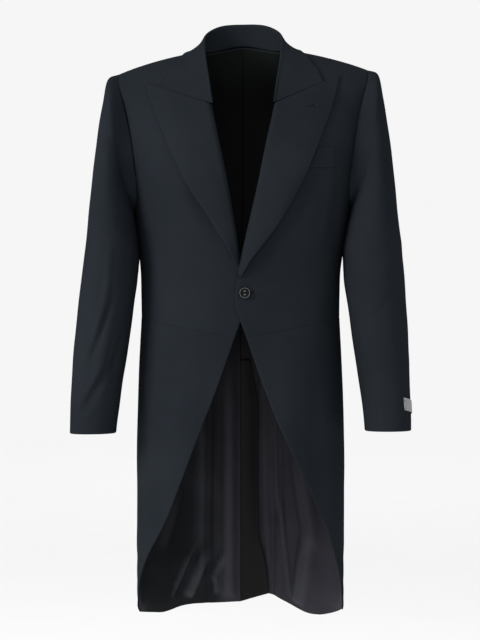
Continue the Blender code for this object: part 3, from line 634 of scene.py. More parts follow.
def spline(v, pitch):
    """A smooth curve through the rows of an array, with a close row at either end."""
    ends = np.concatenate([2 * v[:1] - v[1:2], v, 2 * v[-1:] - v[-2:-1]])
    out = []
    for k in range(len(v) - 1):
        a, b, c, d = ends[k:k + 4]
        step = np.linalg.norm((c - b)[..., :3], axis=-1).mean()
        count = max(1, math.ceil(step / pitch))
        spots = [i / count for i in range(count)]
        if k == 0:
            spots.insert(1, min(0.4 / count, EDGE / max(step, 1e-6)))
        if k == len(v) - 2:
            spots.append(1.0 - min(0.4 / count, EDGE / max(step, 1e-6)))
        for t in spots:
            out.append(0.5 * (2 * b + (c - a) * t + (2 * a - 5 * b + 4 * c - d) * t * t
                              + (3 * b - a - 3 * c + d) * t ** 3))
    out.append(v[-1])
    return np.array(out)


def fine(net, pitch=PITCH):
    """A net at the pitch of the visual model."""
    grid = spline(spline(net, pitch).transpose(1, 0, 2), pitch).transpose(1, 0, 2)
    grid[..., 3:] /= np.linalg.norm(grid[..., 3:], axis=-1, keepdims=True)
    return grid


def turned(grid):
    """The grid's own surface normals, turned the way that its stated normals face."""
    p = grid[..., :3]
    n = np.cross(np.gradient(p, axis=1), np.gradient(p, axis=0))
    n /= np.maximum(np.linalg.norm(n, axis=-1, keepdims=True), 1e-12)
    flip = np.sign((n * grid[..., 3:]).sum(-1, keepdims=True))
    return n * np.where(flip == 0, 1, flip)


def run_along(points, axis):
    """The length run along each line of a grid of points."""
    step = np.diff(points, axis=axis, prepend=points.take([0], axis))
    return np.linalg.norm(step, axis=-1).cumsum(axis)


def cell_area(points):
    total = 0.0
    for corner in (points[:-1, :-1], points[1:, 1:]):
        a, b = points[1:, :-1] - corner, points[:-1, 1:] - corner
        total += np.linalg.norm(np.cross(a, b), axis=-1).sum() / 2
    return total


def shell(name, node, grid, thickness, relief=None, hangs=False, finish="cloth", seam=SEAM_SINK,
          crest=None):
    """A closed thin wall of cloth: its outer face on the grid, its inner face set in, and
    a rounded rim. UVs are in metres along the cloth."""
    normals = turned(grid)
    points = grid[..., :3].copy()
    if relief:
        points += normals * relief(points)[..., None]
        normals = turned(np.concatenate([points, normals], axis=-1))
    rows, cols = points.shape[:2]
    size = rows * cols
    sunk = np.full((rows, cols, 1), seam)
    sunk[1:-1, 1:-1] = 0.0
    outer = points - normals * sunk
    inner = points - normals * (thickness - 0.5 * sunk)
    loop = ([(0, i) for i in range(cols)] + [(j, cols - 1) for j in range(1, rows)]
            + [(rows - 1, i) for i in range(cols - 2, -1, -1)]
            + [(j, 0) for j in range(rows - 2, 0, -1)])
    rim = []
    for j, i in loop:
        out = np.zeros(3)
        for a, b in (((j == rows - 1) - (j == 0), 0), (0, (i == cols - 1) - (i == 0))):
            step = points[j, i] - points[j - a, i - b]
            out += step / max(np.linalg.norm(step), 1e-9)
        out /= max(np.linalg.norm(out), 1e-9)
        rim.append(points[j, i] - normals[j, i] * thickness / 2 + out * thickness / 4)
    verts = np.concatenate([outer.reshape(-1, 3), inner.reshape(-1, 3), rim])
    verts = [stand(Vector(v), hangs) for v in verts]
    faces = []
    for j in range(rows - 1):
        for i in range(cols - 1):
            a = j * cols + i
            cell = (a, a + 1, a + cols + 1, a + cols)
            faces += [cell, tuple(size + v for v in cell[::-1])]
    ring = [j * cols + i for j, i in loop]
    for k, a in enumerate(ring):
        m = (k + 1) % len(ring)
        p, q = 2 * size + k, 2 * size + m
        faces += [(ring[m], a, p, q), (q, p, size + a, size + ring[m])]
    across, up = run_along(points, 1), run_along(points, 0).mean(1, keepdims=True)
    middle = across[:, cols // 2:cols // 2 + 1]
    flat = np.stack([across - middle, up + 0.0 * across], -1).reshape(-1, 2)
    piece = mesh_piece(name, verts, faces, finish, np.concatenate([flat, flat, flat[ring]]))
    # The share of each point that stands on a fold's crest, kept for the lining's painted highlight.
    if crest:
        height = crest(grid[..., :3]).ravel()
        mark = piece.data.attributes.new("crest", "FLOAT", "POINT")
        mark.data.foreach_set("value", np.concatenate([height, height, height[ring]]))
    if Vector(normals[0, 0]).dot(piece.data.polygons[0].normal) < 0.0:
        piece.data.flip_normals()
    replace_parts(piece, node)
    # The piece's own area, which is computed and not kept
    float(cell_area(points))


def placed(name, data, location=(0.0, 0.0, 0.0)):
    thing = bpy.data.objects.new(name, data)
    thing.location = location
    bpy.context.scene.collection.objects.link(thing)
    return thing


def mesh_piece(name, verts, faces, finish, uv=None):
    mesh = bpy.data.meshes.new(name)
    mesh.from_pydata(verts, [], faces)
    if uv is not None:
        layer = mesh.uv_layers.new(name="cloth")
        index = np.zeros(len(mesh.loops), int)
        mesh.loops.foreach_get("vertex_index", index)
        layer.data.foreach_set("uv", uv[index].ravel())
    mesh.shade_smooth()
    piece = placed(name, mesh)
    material, slot = FINISHES[finish]
    mesh.materials.append(material)
    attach(piece, "root")
    return piece


# Finishes

SATIN_LOW, SATIN_HIGH = (0.0196, 0.0193, 0.0246), (0.0284, 0.0279, 0.0346)
# The first tone is a painted highlight for the crests of the lining's folds; the second is painted shade for
# the lining on the wearer's right, beside the right skirt.
SATIN_PAINTED_HIGHLIGHT, SATIN_PAINTED_SHADE = (0.0360, 0.0370, 0.0440), (0.0088, 0.0097, 0.0112)
# Painted shade for the lining up inside the body: two dark tones, the heights over which the lighter tails
# fade into them, and a less dark tone towards the neck. The second pair on the next line is the span in x of
# the right side's painted shade.
PAINTED_SHADE_LOW, PAINTED_SHADE_HIGH = (0.0032, 0.0034, 0.0032), (0.0056, 0.0059, 0.0055)
SATIN_FADE, SATIN_SHADE = (-0.62, -0.46), (-0.030, -0.052)
NECK_FADE, NECK_TONE = (-0.090, 0.020), (0.0088, 0.0108, 0.0100)


class Nodes:
    """A material's node tree, with short calls to fill it."""

    def __init__(self, name):
        self.material = bpy.data.materials.new(name)
        self.material.use_nodes = True
        self.tree = self.material.node_tree
        self.shader = self.tree.nodes["Principled BSDF"]

    def feed(self, node, **inputs):
        """Fills sockets by name or number, with a link or a plain value."""
        for key, value in inputs.items():
            socket = node.inputs[int(key[1:]) if key[1:].isdigit() else key.replace("_", " ")]
            if hasattr(value, "links"):
                self.tree.links.new(value, socket)
            else:
                socket.default_value = (*value, 1.0) if socket.type == "RGBA" else value
        return node

    def add(self, kind, settings=(), **inputs):
        node = self.tree.nodes.new("ShaderNode" + kind)
        for key, value in dict(settings).items():
            setattr(node, key, value)
        return self.feed(node, **inputs)

    def uv(self, stretch=1.0, turn=0.0):
        """Place on the cloth, in metres, stretched along the warp and turned."""
        uv = self.add("UVMap", {"uv_map": "cloth"}).outputs[0]
        if stretch == 1.0 and turn == 0.0:
            return uv
        return self.add("Mapping", Vector=uv, Scale=(1.0, stretch, 1.0),
                        Rotation=(0.0, 0.0, turn)).outputs[0]

    def place(self, axis=None):
        place = self.add("TexCoord").outputs["Object"]
        return self.add("SeparateXYZ", Vector=place).outputs[axis] if axis else place

    def noise(self, place, scale, detail, **more):
        return self.add("TexNoise", Vector=place, Scale=scale, Detail=detail, **more).outputs[0]

    def wave(self, place, direction, scale, distortion, **more):
        settings = {"bands_direction": direction}
        return self.add("TexWave", settings, Vector=place, Scale=scale, Distortion=distortion,
                        **more).outputs["Fac"]

    def scaled(self, value, factor, base=0.0):
        return self.add("Math", {"operation": "MULTIPLY_ADD"}, i0=value, i1=factor, i2=base).outputs[0]

    def blend(self, factor, a, b):
        return self.add("Mix", {"data_type": "RGBA"}, i0=factor, i6=a, i7=b).outputs[2]

    def ramp(self, value, low, high):
        settings = {"interpolation_type": "SMOOTHSTEP"}
        return self.add("MapRange", settings, Value=value, From_Min=low, From_Max=high).outputs["Result"]

    def finish(self, tone, rough, height, strength, distance, **more):
        relief = self.add("Bump", Height=height, Strength=strength, Distance=distance)
        self.feed(self.shader, Base_Color=tone, Roughness=rough, Normal=relief.outputs[0], **more)
        return self.material


def wool():
    """Fine twill: diagonal ribs, slubs and a slow change of tone."""
    n = Nodes("cloth")
    ribs = n.wave(n.uv(turn=math.radians(63)), "X", 380.0, 0.6, Detail=1.0, Detail_Scale=3.0)
    slub = n.noise(n.uv(0.12), 1500.0, 3.0)
    fuzz = n.noise(n.uv(), 2600.0, 2.0)
    slow = n.noise(n.place(), 7.0, 3.0)
    tone = n.blend(n.ramp(slow, 0.3, 0.7), (0.0107, 0.0131, 0.0163), (0.0138, 0.0165, 0.0201))
    tone = n.blend(n.scaled(n.ramp(slub, 0.35, 0.75), 0.45), tone, (0.0190, 0.0224, 0.0272))
    tone = n.blend(n.scaled(ribs, 0.30), tone, (0.0026, 0.0038, 0.0054))
    return n.finish(tone, n.scaled(fuzz, 0.14, 0.82), n.scaled(ribs, 0.6, n.scaled(slub, 0.5)), 0.22, 0.0004,
                    Specular_IOR_Level=0.0, Sheen_Weight=0.004, Sheen_Roughness=0.45,
                    Sheen_Tint=(0.62, 0.70, 0.85))


def satin():
    """Satin weave lining: smooth, with a streaked shine along the warp. Up inside the body its tone is
    darkened as painted shade of the coat's shaded inside, less so towards the neck, and it is lighter in the
    tails."""
    n = Nodes("satin")
    streak = n.noise(n.uv(0.06), 1100.0, 4.0)
    threads = n.wave(n.uv(), "X", 900.0, 0.4)
    slow = n.ramp(n.noise(n.place(), 9.0, 2.0), 0.3, 0.7)
    height = n.place("Z")
    # Painted highlight: the crests of the lining's folds take a lighter tone.
    crest_highlight = n.add("Attribute", {"attribute_name": "crest"}).outputs["Fac"]
    light = n.blend(slow, SATIN_LOW, SATIN_HIGH)
    # Painted shade: the lining on the wearer's right, past the span in x, takes a darker tone.
    light = n.blend(n.ramp(n.place("X"), *SATIN_SHADE), light, SATIN_PAINTED_SHADE)
    light = n.blend(crest_highlight, light, SATIN_PAINTED_HIGHLIGHT)
    # Painted shade: a dark tone up inside the body, less dark towards the neck, faded into the lighter tails
    # by height.
    dark = n.blend(n.ramp(height, *NECK_FADE), n.blend(slow, PAINTED_SHADE_LOW, PAINTED_SHADE_HIGH), NECK_TONE)
    tone = n.blend(n.ramp(height, *SATIN_FADE), light, dark)
    tone = n.blend(n.scaled(n.ramp(streak, 0.4, 0.8), 0.2), tone, (0.020, 0.019, 0.023))
    return n.finish(tone, n.scaled(streak, 0.12, 0.36), n.scaled(threads, 0.4, streak), 0.10, 0.0003,
                    Specular_IOR_Level=0.035, Anisotropic=0.35)


def facing():
    """Dark sateen, which faces the vent's extension. The facing is real; its tone, set well below the wool's
    and darker towards the hem, is painted shade of the recess under the left tail.
    """
    n = Nodes("facing")
    streak = n.noise(n.uv(0.08), 900.0, 3.0)
    low = n.blend(streak, (0.0012, 0.0012, 0.0014), (0.0036, 0.0034, 0.0040))
    # Painted shade: darker towards the hem, in the recess under the left tail.
    tone = n.blend(n.ramp(n.place("Z"), -0.80, -0.54), low, (0.0078, 0.0074, 0.0084))
    return n.finish(tone, n.scaled(streak, 0.14, 0.42), streak, 0.15, 0.0003, Specular_IOR_Level=0.12)


def horn():
    n = Nodes("horn")
    swirl = n.noise(n.place(), 260.0, 4.0, Distortion=1.2)
    scratch = n.noise(n.place(), 1500.0, 2.0)
    tone = n.blend(n.ramp(swirl, 0.35, 0.7), (0.0022, 0.0022, 0.0026), (0.0062, 0.0058, 0.0060))
    return n.finish(tone, n.scaled(scratch, 0.16, 0.26), scratch, 0.08, 0.0002, Specular_IOR_Level=0.060)


def thread(name, colour):
    n = Nodes(name)
    twist = n.wave(n.place(), "DIAGONAL", 1400.0, 1.0)
    tone = n.blend(twist, tuple(c * 0.6 for c in colour), colour)
    return n.finish(tone, n.scaled(twist, 0.15, 0.6), twist, 0.4, 0.0002, Specular_IOR_Level=0.10)


def ribbon():
    """Plain grey woven label ribbon with fine cross ribs."""
    n = Nodes("ribbon")
    ribs = n.wave(n.uv(), "Y", 650.0, 0.3)
    grain = n.noise(n.uv(), 1800.0, 2.0)
    tone = n.blend(n.scaled(ribs, 0.5), (0.21, 0.225, 0.222), (0.15, 0.16, 0.158))
    tone = n.blend(n.scaled(grain, 0.3), tone, (0.26, 0.27, 0.27))
    return n.finish(tone, n.scaled(grain, 0.2, 0.5), ribs, 0.3, 0.0003)


# Each finish and its slot
FINISHES = {
    "cloth": (wool(), "cloth"),
    "satin": (satin(), "lining"),
    "facing": (facing(), "cloth"),
    "horn": (horn(), "button"),
    "thread": (thread("thread", (0.006, 0.007, 0.009)), "cloth"),
    "pale_thread": (thread("pale_thread", (0.27, 0.275, 0.275)), "label"),
    "grey_thread": (thread("grey_thread", (0.06, 0.065, 0.07)), "cloth"),
    # A pale finish, painted as the highlight on the button's rim.
    "rim_highlight": (thread("rim_highlight", (0.17, 0.175, 0.18)), "button"),
    "ribbon": (ribbon(), "label"),
}

# Creases: from x, height to x, height, half width, height of the crease, side or 0 for both
FRONT_CREASES = metres((
    (26, -446, 135, -462, 10, 1.2, 0),
    (24, -430, 120, -404, 14, -1.0, 0),
    (30, -470, 150, -520, 16, -0.8, RIGHT),
    (60, -200, 150, -330, 30, 1.2, RIGHT),
    (176, -210, 152, -400, 16, -1.6, 0),
    (160, -200, 136, -390, 12, 1.0, LEFT),
    (160, -330, 124, -560, 22, 1.4, LEFT),
    (104, -215, 18, -372, 30, -4.0, RIGHT),
    (134, -205, 72, -350, 26, -3.4, LEFT),
    (140, -300, 150, -480, 20, 1.0, RIGHT),
    (70, -530, 100, -800, 24, 1.6, 0),
    (120, -520, 145, -900, 22, -1.8, 0),
    (155, -540, 165, -960, 18, 1.6, 0),
    (168, -700, 120, -990, 26, 1.4, RIGHT),
), keep=(6,))
BACK_CREASES = metres((
    (20, -300, 90, -430, 24, -1.6, 0),
    (60, -90, 150, -150, 26, 1.2, 0),
    (140, -180, 70, -300, 20, -1.4, RIGHT),
    (150, -200, 90, -340, 22, -1.2, LEFT),
    (110, -540, 120, -980, 24, 2.0, 0),
    (145, -560, 150, -960, 20, -1.8, 0),
    (40, -620, 60, -960, 22, 1.2, LEFT),
    (57, -420, 63, -1120, 9, 3.0, 0),
    (71, -420, 78, -1120, 11, -3.0, 0),
), keep=(6,))
SLEEVE_CREASES = metres((
    (228, -340, 237, -480, 11, 2.4, RIGHT),
    (229, -400, 260, -540, 11, 3.2, RIGHT),
    (216, -425, 272, -580, 9, -3.6, RIGHT),
    (226, -485, 259, -615, 13, 3.0, RIGHT),
    (201, -490, 230, -592, 9, -2.8, RIGHT),
    (230, -545, 289, -645, 9, 2.4, RIGHT),
    (228, -563, 287, -668, 11, -2.8, RIGHT),
    (250, -120, 236, -300, 14, 1.0, RIGHT),
    (240, -180, 262, -260, 12, -1.0, LEFT),
    (226, -440, 292, -330, 16, 1.0, LEFT),
    (220, -500, 284, -420, 12, -1.2, LEFT),
    (270, -640, 296, -540, 12, 1.0, LEFT),
), keep=(6,))
# Folds of the lining towards the wearer: from x, height to x, height, half width left of
# the crest, half width right of it, height, side. Here x is signed
LINING_FOLDS = metres((
    (-18.5, -480, -19.5, -1060, 17.5, 16, 8.0, RIGHT),
    (-48, -640, -47, -930, 6, 5, 2.0, RIGHT),
    (-70, -560, -76, -900, 18, 20, 4.5, RIGHT),
    (-23, -905, -50, -970, 6.2, 6.2, 7.0, RIGHT),
    (-49, -940, -44.5, -995, 6.4, 6.4, 6.6, RIGHT),
    (-56.7, -905, -99.5, -998, 12, 10.5, 10.0, RIGHT),
    (-76, -885, -129, -992, 3.2, 3.2, 4.4, RIGHT),
    (-96, -915, -126, -978, 3, 3, 4.0, RIGHT),
    (-108, -780, -145, -900, 13, 11, 2.6, RIGHT),
    (35, -560, 56, -1030, 4, 7, 3.5, LEFT),
    (43, -520, 47, -760, 2.4, 2.4, 2.6, LEFT),
    (59, -560, 66, -830, 10, 8, 6.2, LEFT),
    (70, -760, 95, -1000, 9, 4, 4.6, LEFT),
    (98, -690, 134, -900, 18, 14, 8.5, LEFT),
    (131, -850, 110, -1020, 17, 17, 8.0, LEFT),
    (33, -470, 42, -640, 2, 2.6, 3.4, LEFT),
), keep=(7,))
CREASE_FADE = 0.35
SIDE_BLEND = 0.08

# The lining lies slack on a cushion of air and is held down at its free edges
SLACK, CREST = 0.0030, 0.0072
HOLD_SIDE, HOLD_END, UNDERLAP_HOLD = 0.022, 0.020, 0.008
FOLDS_TOP, FOLDS_FADE = -0.50, 0.10
FOLD_HEAD, FOLD_FOOT, FOLD_FADE = 0.42, 1.12, 0.2
THIN_SINK, LAPEL_SINK = 0.0001, 0.0002

# Unevenness of each cloth: seed, size, height. Then how its crossed waves differ
FRONT_RIPPLE, BACK_RIPPLE = (3.0, 0.15, 0.0004), (9.0, 0.17, 0.0005)
SLEEVE_RIPPLE, LINING_RIPPLE = (31.0, 0.09, 0.0005), (21.0, 0.11, 0.0009)
WAVES, SEED_TURN, WAVE_TURN, WAVE_RISE = 5, 1.7, 2.399, 0.35
WAVE_SHORTEST, WAVE_GROWTH, WAVE_CALM = 0.7, 0.22, 3.0


def bump(t):
    """1 in the middle and 0 from 1 outwards, with soft shoulders."""
    return np.clip(1.0 - t * t, 0.0, None) ** 2


def creases(points, table, hand):
    """Height of the soft creases at points: each runs from one place to another."""
    x, z = points[..., 0] * hand, points[..., 2]
    out = np.zeros(x.shape)
    for x0, z0, x1, z1, half, height, side in table:
        if side in (0, hand):
            run = math.hypot(x1 - x0, z1 - z0)
            u = ((x - x0) * (x1 - x0) + (z - z0) * (z1 - z0)) / run ** 2
            across = ((x - x0) * (z1 - z0) - (z - z0) * (x1 - x0)) / run
            out += height * bump(across / half) * soft(np.minimum(u, 1.0 - u) / CREASE_FADE)
    return out


def ripple(points, seed, size, height):
    """Slow unevenness of a pressed cloth: a few crossed waves with fixed phases."""
    out = np.zeros(points.shape[:-1])
    for k in range(WAVES):
        turn = seed * SEED_TURN + k * WAVE_TURN
        ahead = np.array([math.cos(turn), WAVE_RISE * math.sin(3 * turn), math.sin(turn)])
        length = size * (WAVE_SHORTEST + WAVE_GROWTH * k)
        out += np.sin(points @ ahead * (2 * math.pi / length) + seed + k * k)
    return out * height / WAVE_CALM


def relief_of(table, hand, seed, size, height):
    """Creases and slow unevenness, as a function of points."""
    return lambda points: creases(points, table, hand) + ripple(points, seed + hand, size, height)


def front_relief(hand):
    return relief_of(FRONT_CREASES, hand, *FRONT_RIPPLE)


def around(hand):
    """Front creases in front, back creases behind, and neither on the side."""
    front, back = front_relief(hand), relief_of(BACK_CREASES, hand, *BACK_RIPPLE)

    def relief(points):
        share = np.clip(0.5 + points[..., 1] / SIDE_BLEND, 0.0, 1.0)
        return front(points) * (1.0 - share) + back(points) * share
    return relief


def from_edges(points, joined):
    """0 at the free edges of a grid of points, and 1 a little way in. The first or the
    last column is joined to the next lining and isn't held down."""
    across, upwards = run_along(points, 1), run_along(points, 0)
    free = across[:, -1:] - across if joined == "first" else across
    ends = np.minimum(upwards, upwards[-1:] - upwards)
    return soft(np.minimum(free / HOLD_SIDE, ends / HOLD_END))


def folds_at(points, hand, joined):
    """How far the lining stands in at points: the two flanks of a fold have their own
    widths, and no fold sinks into the cloth."""
    x, z = points[..., 0], points[..., 2]
    out = np.full(x.shape, SLACK) + ripple(points, *LINING_RIPPLE)
    for x0, z0, x1, z1, before, after, height, side in LINING_FOLDS:
        if side == hand:
            run = math.hypot(x1 - x0, z1 - z0)
            u = ((x - x0) * (x1 - x0) + (z - z0) * (z1 - z0)) / run ** 2
            across = x - (x0 + (x1 - x0) * np.clip(u, 0.0, 1.0))
            half = np.where(across < 0.0, before, after)
            flank = np.clip(1.0 - np.abs(across / half) ** 3, 0.0, None) ** 1.5
            out += height * flank * soft(np.minimum(u * FOLD_HEAD, FOLD_FOOT - u) / FOLD_FADE)
    out *= from_edges(points, joined)
    if hand == LEFT:
        heights, edges = zip(*reversed(UNDERLAP))
        clear = np.clip((x - np.interp(z, heights, edges)) / UNDERLAP_HOLD, 0.0, 1.0)
        out *= np.where(z < UNDERLAP_START, clear, 1.0)
    return np.maximum(out, 0.0) * np.clip((FOLDS_TOP - z) / FOLDS_FADE, 0.0, 1.0)


# Body

ROLL_TUCK, TUCK_RISE, TUCK_FALL = 0.0032, 0.03, (-0.005, 0.02)
UNDERLAP_FLARE, FLARE_RUN, FLARE_NARROW = 0.0060, 0.08, 0.004


def panel(name, hand, rows, lift=None):
    side = SIDE_NAMES[hand]
    grid = fine(body_net(rows, hand, lift))
    shell(f"{name}_cloth_{side}", f"{name}_{side}", grid, CLOTH, around(hand))


def make_body(hand):
    upper, tail, skirt = back_rows(), tail_rows(hand), skirt_rows(hand)
    panel("forepart", hand, tucked(forepart_rows(), hand), lap(hand))
    panel("side_body", hand, side_body_rows())
    panel("skirt", hand, skirt, lap(hand))
    if hand == RIGHT:
        make_underlap()
    panel("back", hand, tail[:-1] + upper, vent(hand))
    make_lining("back_lining", hand, upper)
    make_lining("tail_lining", hand, tail, vent(hand), "first")
    make_lining("skirt_lining", hand, skirt, lap(hand), "last")


def tucked(rows, hand):
    """The forepart's edge drawn back along the roll line, inside the turned facing."""
    foot, top = ROLL_FOOT[hand][1], ROLL_TOP[1]
    out = []
    for row in rows:
        angle, z = row[0]
        back = ease(foot, foot + TUCK_RISE, z) * (1.0 - ease(top + TUCK_FALL[0], top + TUCK_FALL[1], z))
        out.append([(angle_at(skin(angle, z).x + ROLL_TUCK * back, z), z)] + row[1:])
    return out


def make_underlap():
    """The right tail's extension, bare inside, which passes under the left tail. Its
    edge stands a little away from it."""
    grid = fine(body_net(underlap_rows(), RIGHT, vent(RIGHT)))
    edge = np.maximum(grid[:, -1:, 0], FLARE_NARROW)

    def flare(points):
        share = np.clip(points[..., 0] / edge, 0.0, 1.0)
        drop = np.clip((UNDERLAP_START - points[..., 2]) / FLARE_RUN, 0.0, 1.0)
        return -UNDERLAP_FLARE * share ** 2 * drop
    shell("underlap_cloth", "back_right", grid, CLOTH, flare, finish="facing")


def set_in(net):
    """The net drawn in at its edges by a seam's gap and sunk by the lining's depth."""
    points, result = net[..., :3], net.copy()
    for edge, inner in ((np.s_[0], np.s_[1]), (np.s_[-1], np.s_[-2]),
                        (np.s_[:, 0], np.s_[:, 1]), (np.s_[:, -1], np.s_[:, -2])):
        step = points[inner] - points[edge]
        result[edge][..., :3] += step / np.linalg.norm(step, axis=-1, keepdims=True) * SEAM_GAP
    result[..., :3] -= result[..., 3:] * LINING_DEPTH
    return result


def make_lining(name, hand, rows, lift=None, joined=None):
    """A lining. Those of the skirts and tails have folds and start inside the hem."""
    plain = around(hand)
    side = SIDE_NAMES[hand]

    def inwards(points):
        return folds_at(points, hand, joined) if joined else np.zeros(points.shape[:-1])

    grid = fine(set_in(body_net(rows, hand, lift)), LINING_PITCH if joined == "last" else PITCH)
    if joined:
        grid = grid[1:-1, 2 if joined == "last" else 0:]
    shell(f"{name}_satin_{side}", f"{name}_{side}", grid, LINING,
          lambda points: plain(points) - inwards(points), finish="satin", seam=THIN_SINK,
          crest=lambda points: np.clip((inwards(points) - SLACK) / CREST, 0.0, 1.0))


# Lapels and collar

# The turned edge at the roll line: how far inside the fold, and how far off the skin
ROLL_TURN = metres(((5.0, -5.2), (2.2, -5.0), (0.4, -3.6), (-0.2, -1.2), (-0.1, 1.6)))
LAPEL_LIFT, ROLL_OUT, ROLL_END = 0.0090, 0.0012, 0.0004
# Where the lapel's forms start and end, as shares of the way from its foot to its tip
TURN_FULL, BULGE_FROM, LOOSE_FULL, LOOSE_FADE = 0.10, 0.75, 0.12, (0.45, 0.80)
SWELL_FADE, SWELL_LOSS = (0.70, 1.0), 0.85


def lapel_net(hand):
    """The lapel's net, from the turned edge inside the roll line to the outer edge."""
    over = lap(hand)
    outline = [(row[SIDE_COLUMN[hand]], row[0]) for row in reversed(LAPEL_OUTLINE)]
    outline = [LAPEL_FOOT[hand]] + outline + [LAPEL_TIP[hand]]
    net = []
    for u in steps(LAPEL_ROWS):
        roll_x, roll_z = along((ROLL_FOOT[hand], ROLL_TOP), u)
        edge_x, edge_z = along(outline, u)
        bulge = ROLL_OUT * ease(BULGE_FROM, 1.0, u)
        turn = ease(0.0, TURN_FULL, u)
        row = []
        for inside, off in ROLL_TURN:
            x = roll_x + inside * turn + (1.0 - turn) * ROLL_END + bulge
            row.append((x, roll_z, mix(LAPEL_LIE, off, turn)))
        loose = LAPEL_LIFT * ease(0.0, LOOSE_FULL, u) * (1.0 - ease(*LOOSE_FADE, u))
        swell = ease(0.0, LAPEL_SWELL_FULL, u) * (1.0 - SWELL_LOSS * ease(*SWELL_FADE, u))
        swell *= 4.0 * (LAPEL_ROLL - LAPEL_LIE)
        for v in steps(LAPEL_COLUMNS):
            out = mix(LAPEL_LIE, LAPEL_EDGE, v) + swell * v * (1.0 - v) + loose * v
            row.append((mix(roll_x + bulge, edge_x, v), mix(roll_z, edge_z, v), out))
        places = [(angle_at(x, z), z, out) for x, z, out in row]
        net.append([off_skin(angle * hand, z, out + over(angle, z)) for angle, z, out in places])
    return packed(net)


def make_lapel(hand):
    side = SIDE_NAMES[hand]
    shell(f"lapel_cloth_{side}", f"lapel_{side}", fine(lapel_net(hand)), LAPEL_CLOTH,
          front_relief(hand), seam=LAPEL_SINK)


def make_collar():
    rolls = (0.0,) * (len(COLLAR) - len(FOLD_ROLL)) + FOLD_ROLL
    halves = {}
    for hand in (RIGHT, LEFT):
        halves[hand] = [collar_station(station, roll, hand, station == COLLAR[-1])
                        for station, roll in zip(COLLAR, rolls)]
    sections = halves[RIGHT][::-1] + halves[LEFT][1:]
    shell("collar_cloth", "collar", fine(net_of(sections, RIGHT), COLLAR_PITCH), CLOTH, seam=THIN_SINK)


def make_welt():
    net = []
    for z in (WELT_BOTTOM, WELT_TOP):
        start = by_side(LAPEL_OUTLINE, z, LEFT) + WELT_CLEAR
        net.append([off_skin(angle_at(mix(start, WELT_END, u), z), z, WELT_LIE)
                    for u in steps(WELT_COLUMNS)])
    shell("breast_welt_cloth", "breast_welt", fine(packed(net), SMALL_PITCH), WELT_THICKNESS,
          front_relief(LEFT))


# Sleeves

# Where a sleeve leans on the side of the body: height, how far it is pushed out
SLEEVE_TOUCH = metres((
    (-405, 0), (-385, 1.4), (-362, 4.6), (-335, 5.4), (-310, 6.4), (-290, 8.0), (-268, 8.4),
    (-245, 6.0), (-215, 0),
))
SLEEVE_SIDE, TOUCH_BLEND = 0.215, 0.02
SLEEVE_FRONT, SLEEVE_BLEND = -0.03, 0.05


def sleeve_relief(hand):
    seed, size, height = SLEEVE_RIPPLE

    def relief(points):
        front = np.clip(0.5 - (points[..., 1] - SLEEVE_FRONT) / SLEEVE_BLEND, 0.0, 1.0)
        inside = np.clip((SLEEVE_SIDE - points[..., 0] * hand) / TOUCH_BLEND, 0.0, 1.0)
        touch = inside * np.interp(points[..., 2], *zip(*SLEEVE_TOUCH))
        folds = creases(points, SLEEVE_CREASES, hand) * front
        return folds + touch + ripple(points, seed + hand, size, height)
    return relief


def make_sleeve(hand):
    sections = [armhole(hand)]
    count = len(sections[0])
    for section in SLEEVE:
        sections.append([sleeve_point(section, 360.0 * i / count, hand) for i in range(count)])
    net = net_of(sections, hand, closed=True)
    side = SIDE_NAMES[hand]
    for name, start, end in (("top_sleeve", HINDARM_SEAM, count + FOREARM_SEAM),
                             ("under_sleeve", FOREARM_SEAM, HINDARM_SEAM)):
        columns = [i % count for i in range(start, end + 1)]
        shell(f"{name}_cloth_{side}", f"{name}_{side}", fine(net[:, columns], SLEEVE_PITCH), CLOTH,
              sleeve_relief(hand), hangs=True)


def make_label():
    rows = [(row[1], *row) for row in SLEEVE[-4:]]
    sections = []
    for low in (LABEL_TOP - LABEL_HEIGHT, LABEL_TOP):
        sections.append([sleeve_point(read(rows, low - LABEL_DROP * u),
                                      mix(LABEL_FRONT, LABEL_BACK, u), LEFT)
                         for u in steps(LABEL_COLUMNS)])
    net = net_of(sections, LEFT)
    net[..., :3] += net[..., 3:] * LABEL_LIE
    shell("cuff_label_ribbon", "cuff_label", fine(net, SMALL_PITCH), LABEL_THICKNESS,
          sleeve_relief(LEFT), hangs=True, finish="ribbon")


# Buttons

# A button's outline with its edges rounded: share of the radius, share of the thickness
BUTTON_ROUNDING = (
    (0.60, 0.00), (0.92, 0.35), (0.99, 0.60), (1.00, 0.75), (0.97, 0.92), (0.91, 1.00),
    (0.84, 0.96), (0.78, 0.80), (0.70, 0.72), (0.40, 0.68),
)
DISH, CENTRE = 0.66 * BUTTON_THICKNESS, 0.0008
RING, RING_SUNK, RING_RADIUS = 0.0085, 0.0002, 0.00032
HOLE_X, HOLE_Y = 0.0019, 0.0031
HOLE = ((0.0002, 0.0), (0.0010, 0.0), (0.0012, 0.0004), (0.0008, 0.0005), (0.0002, 0.00045))
THREAD_LIE, THREAD_ARCH, THREAD_RADIUS = 0.0004, 0.0005, 0.00045
UP = Vector((0.0, 0.0, 1.0))


def circle(count):
    return [2.0 * math.pi * k / count for k in range(count)]


def tube(name, rings, finish):
    """A closed tube over rings of points."""
    count = len(rings[0])
    faces = []
    for k in range(len(rings) - 1):
        for m in range(count):
            n = (m + 1) % count
            faces.append((k * count + m, k * count + n, (k + 1) * count + n, (k + 1) * count + m))
    faces.append(tuple(range(count))[::-1])
    faces.append(tuple((len(rings) - 1) * count + m for m in range(count)))
    return mesh_piece(name, [point for ring in rings for point in ring], faces, finish)


def lathe(name, profile, matrix, finish, sides=48):
    """A turned piece about its own Z."""
    rings = [[matrix @ Vector((r * math.cos(a), r * math.sin(a), h)) for a in circle(sides)]
             for r, h in profile]
    return tube(name, rings, finish)


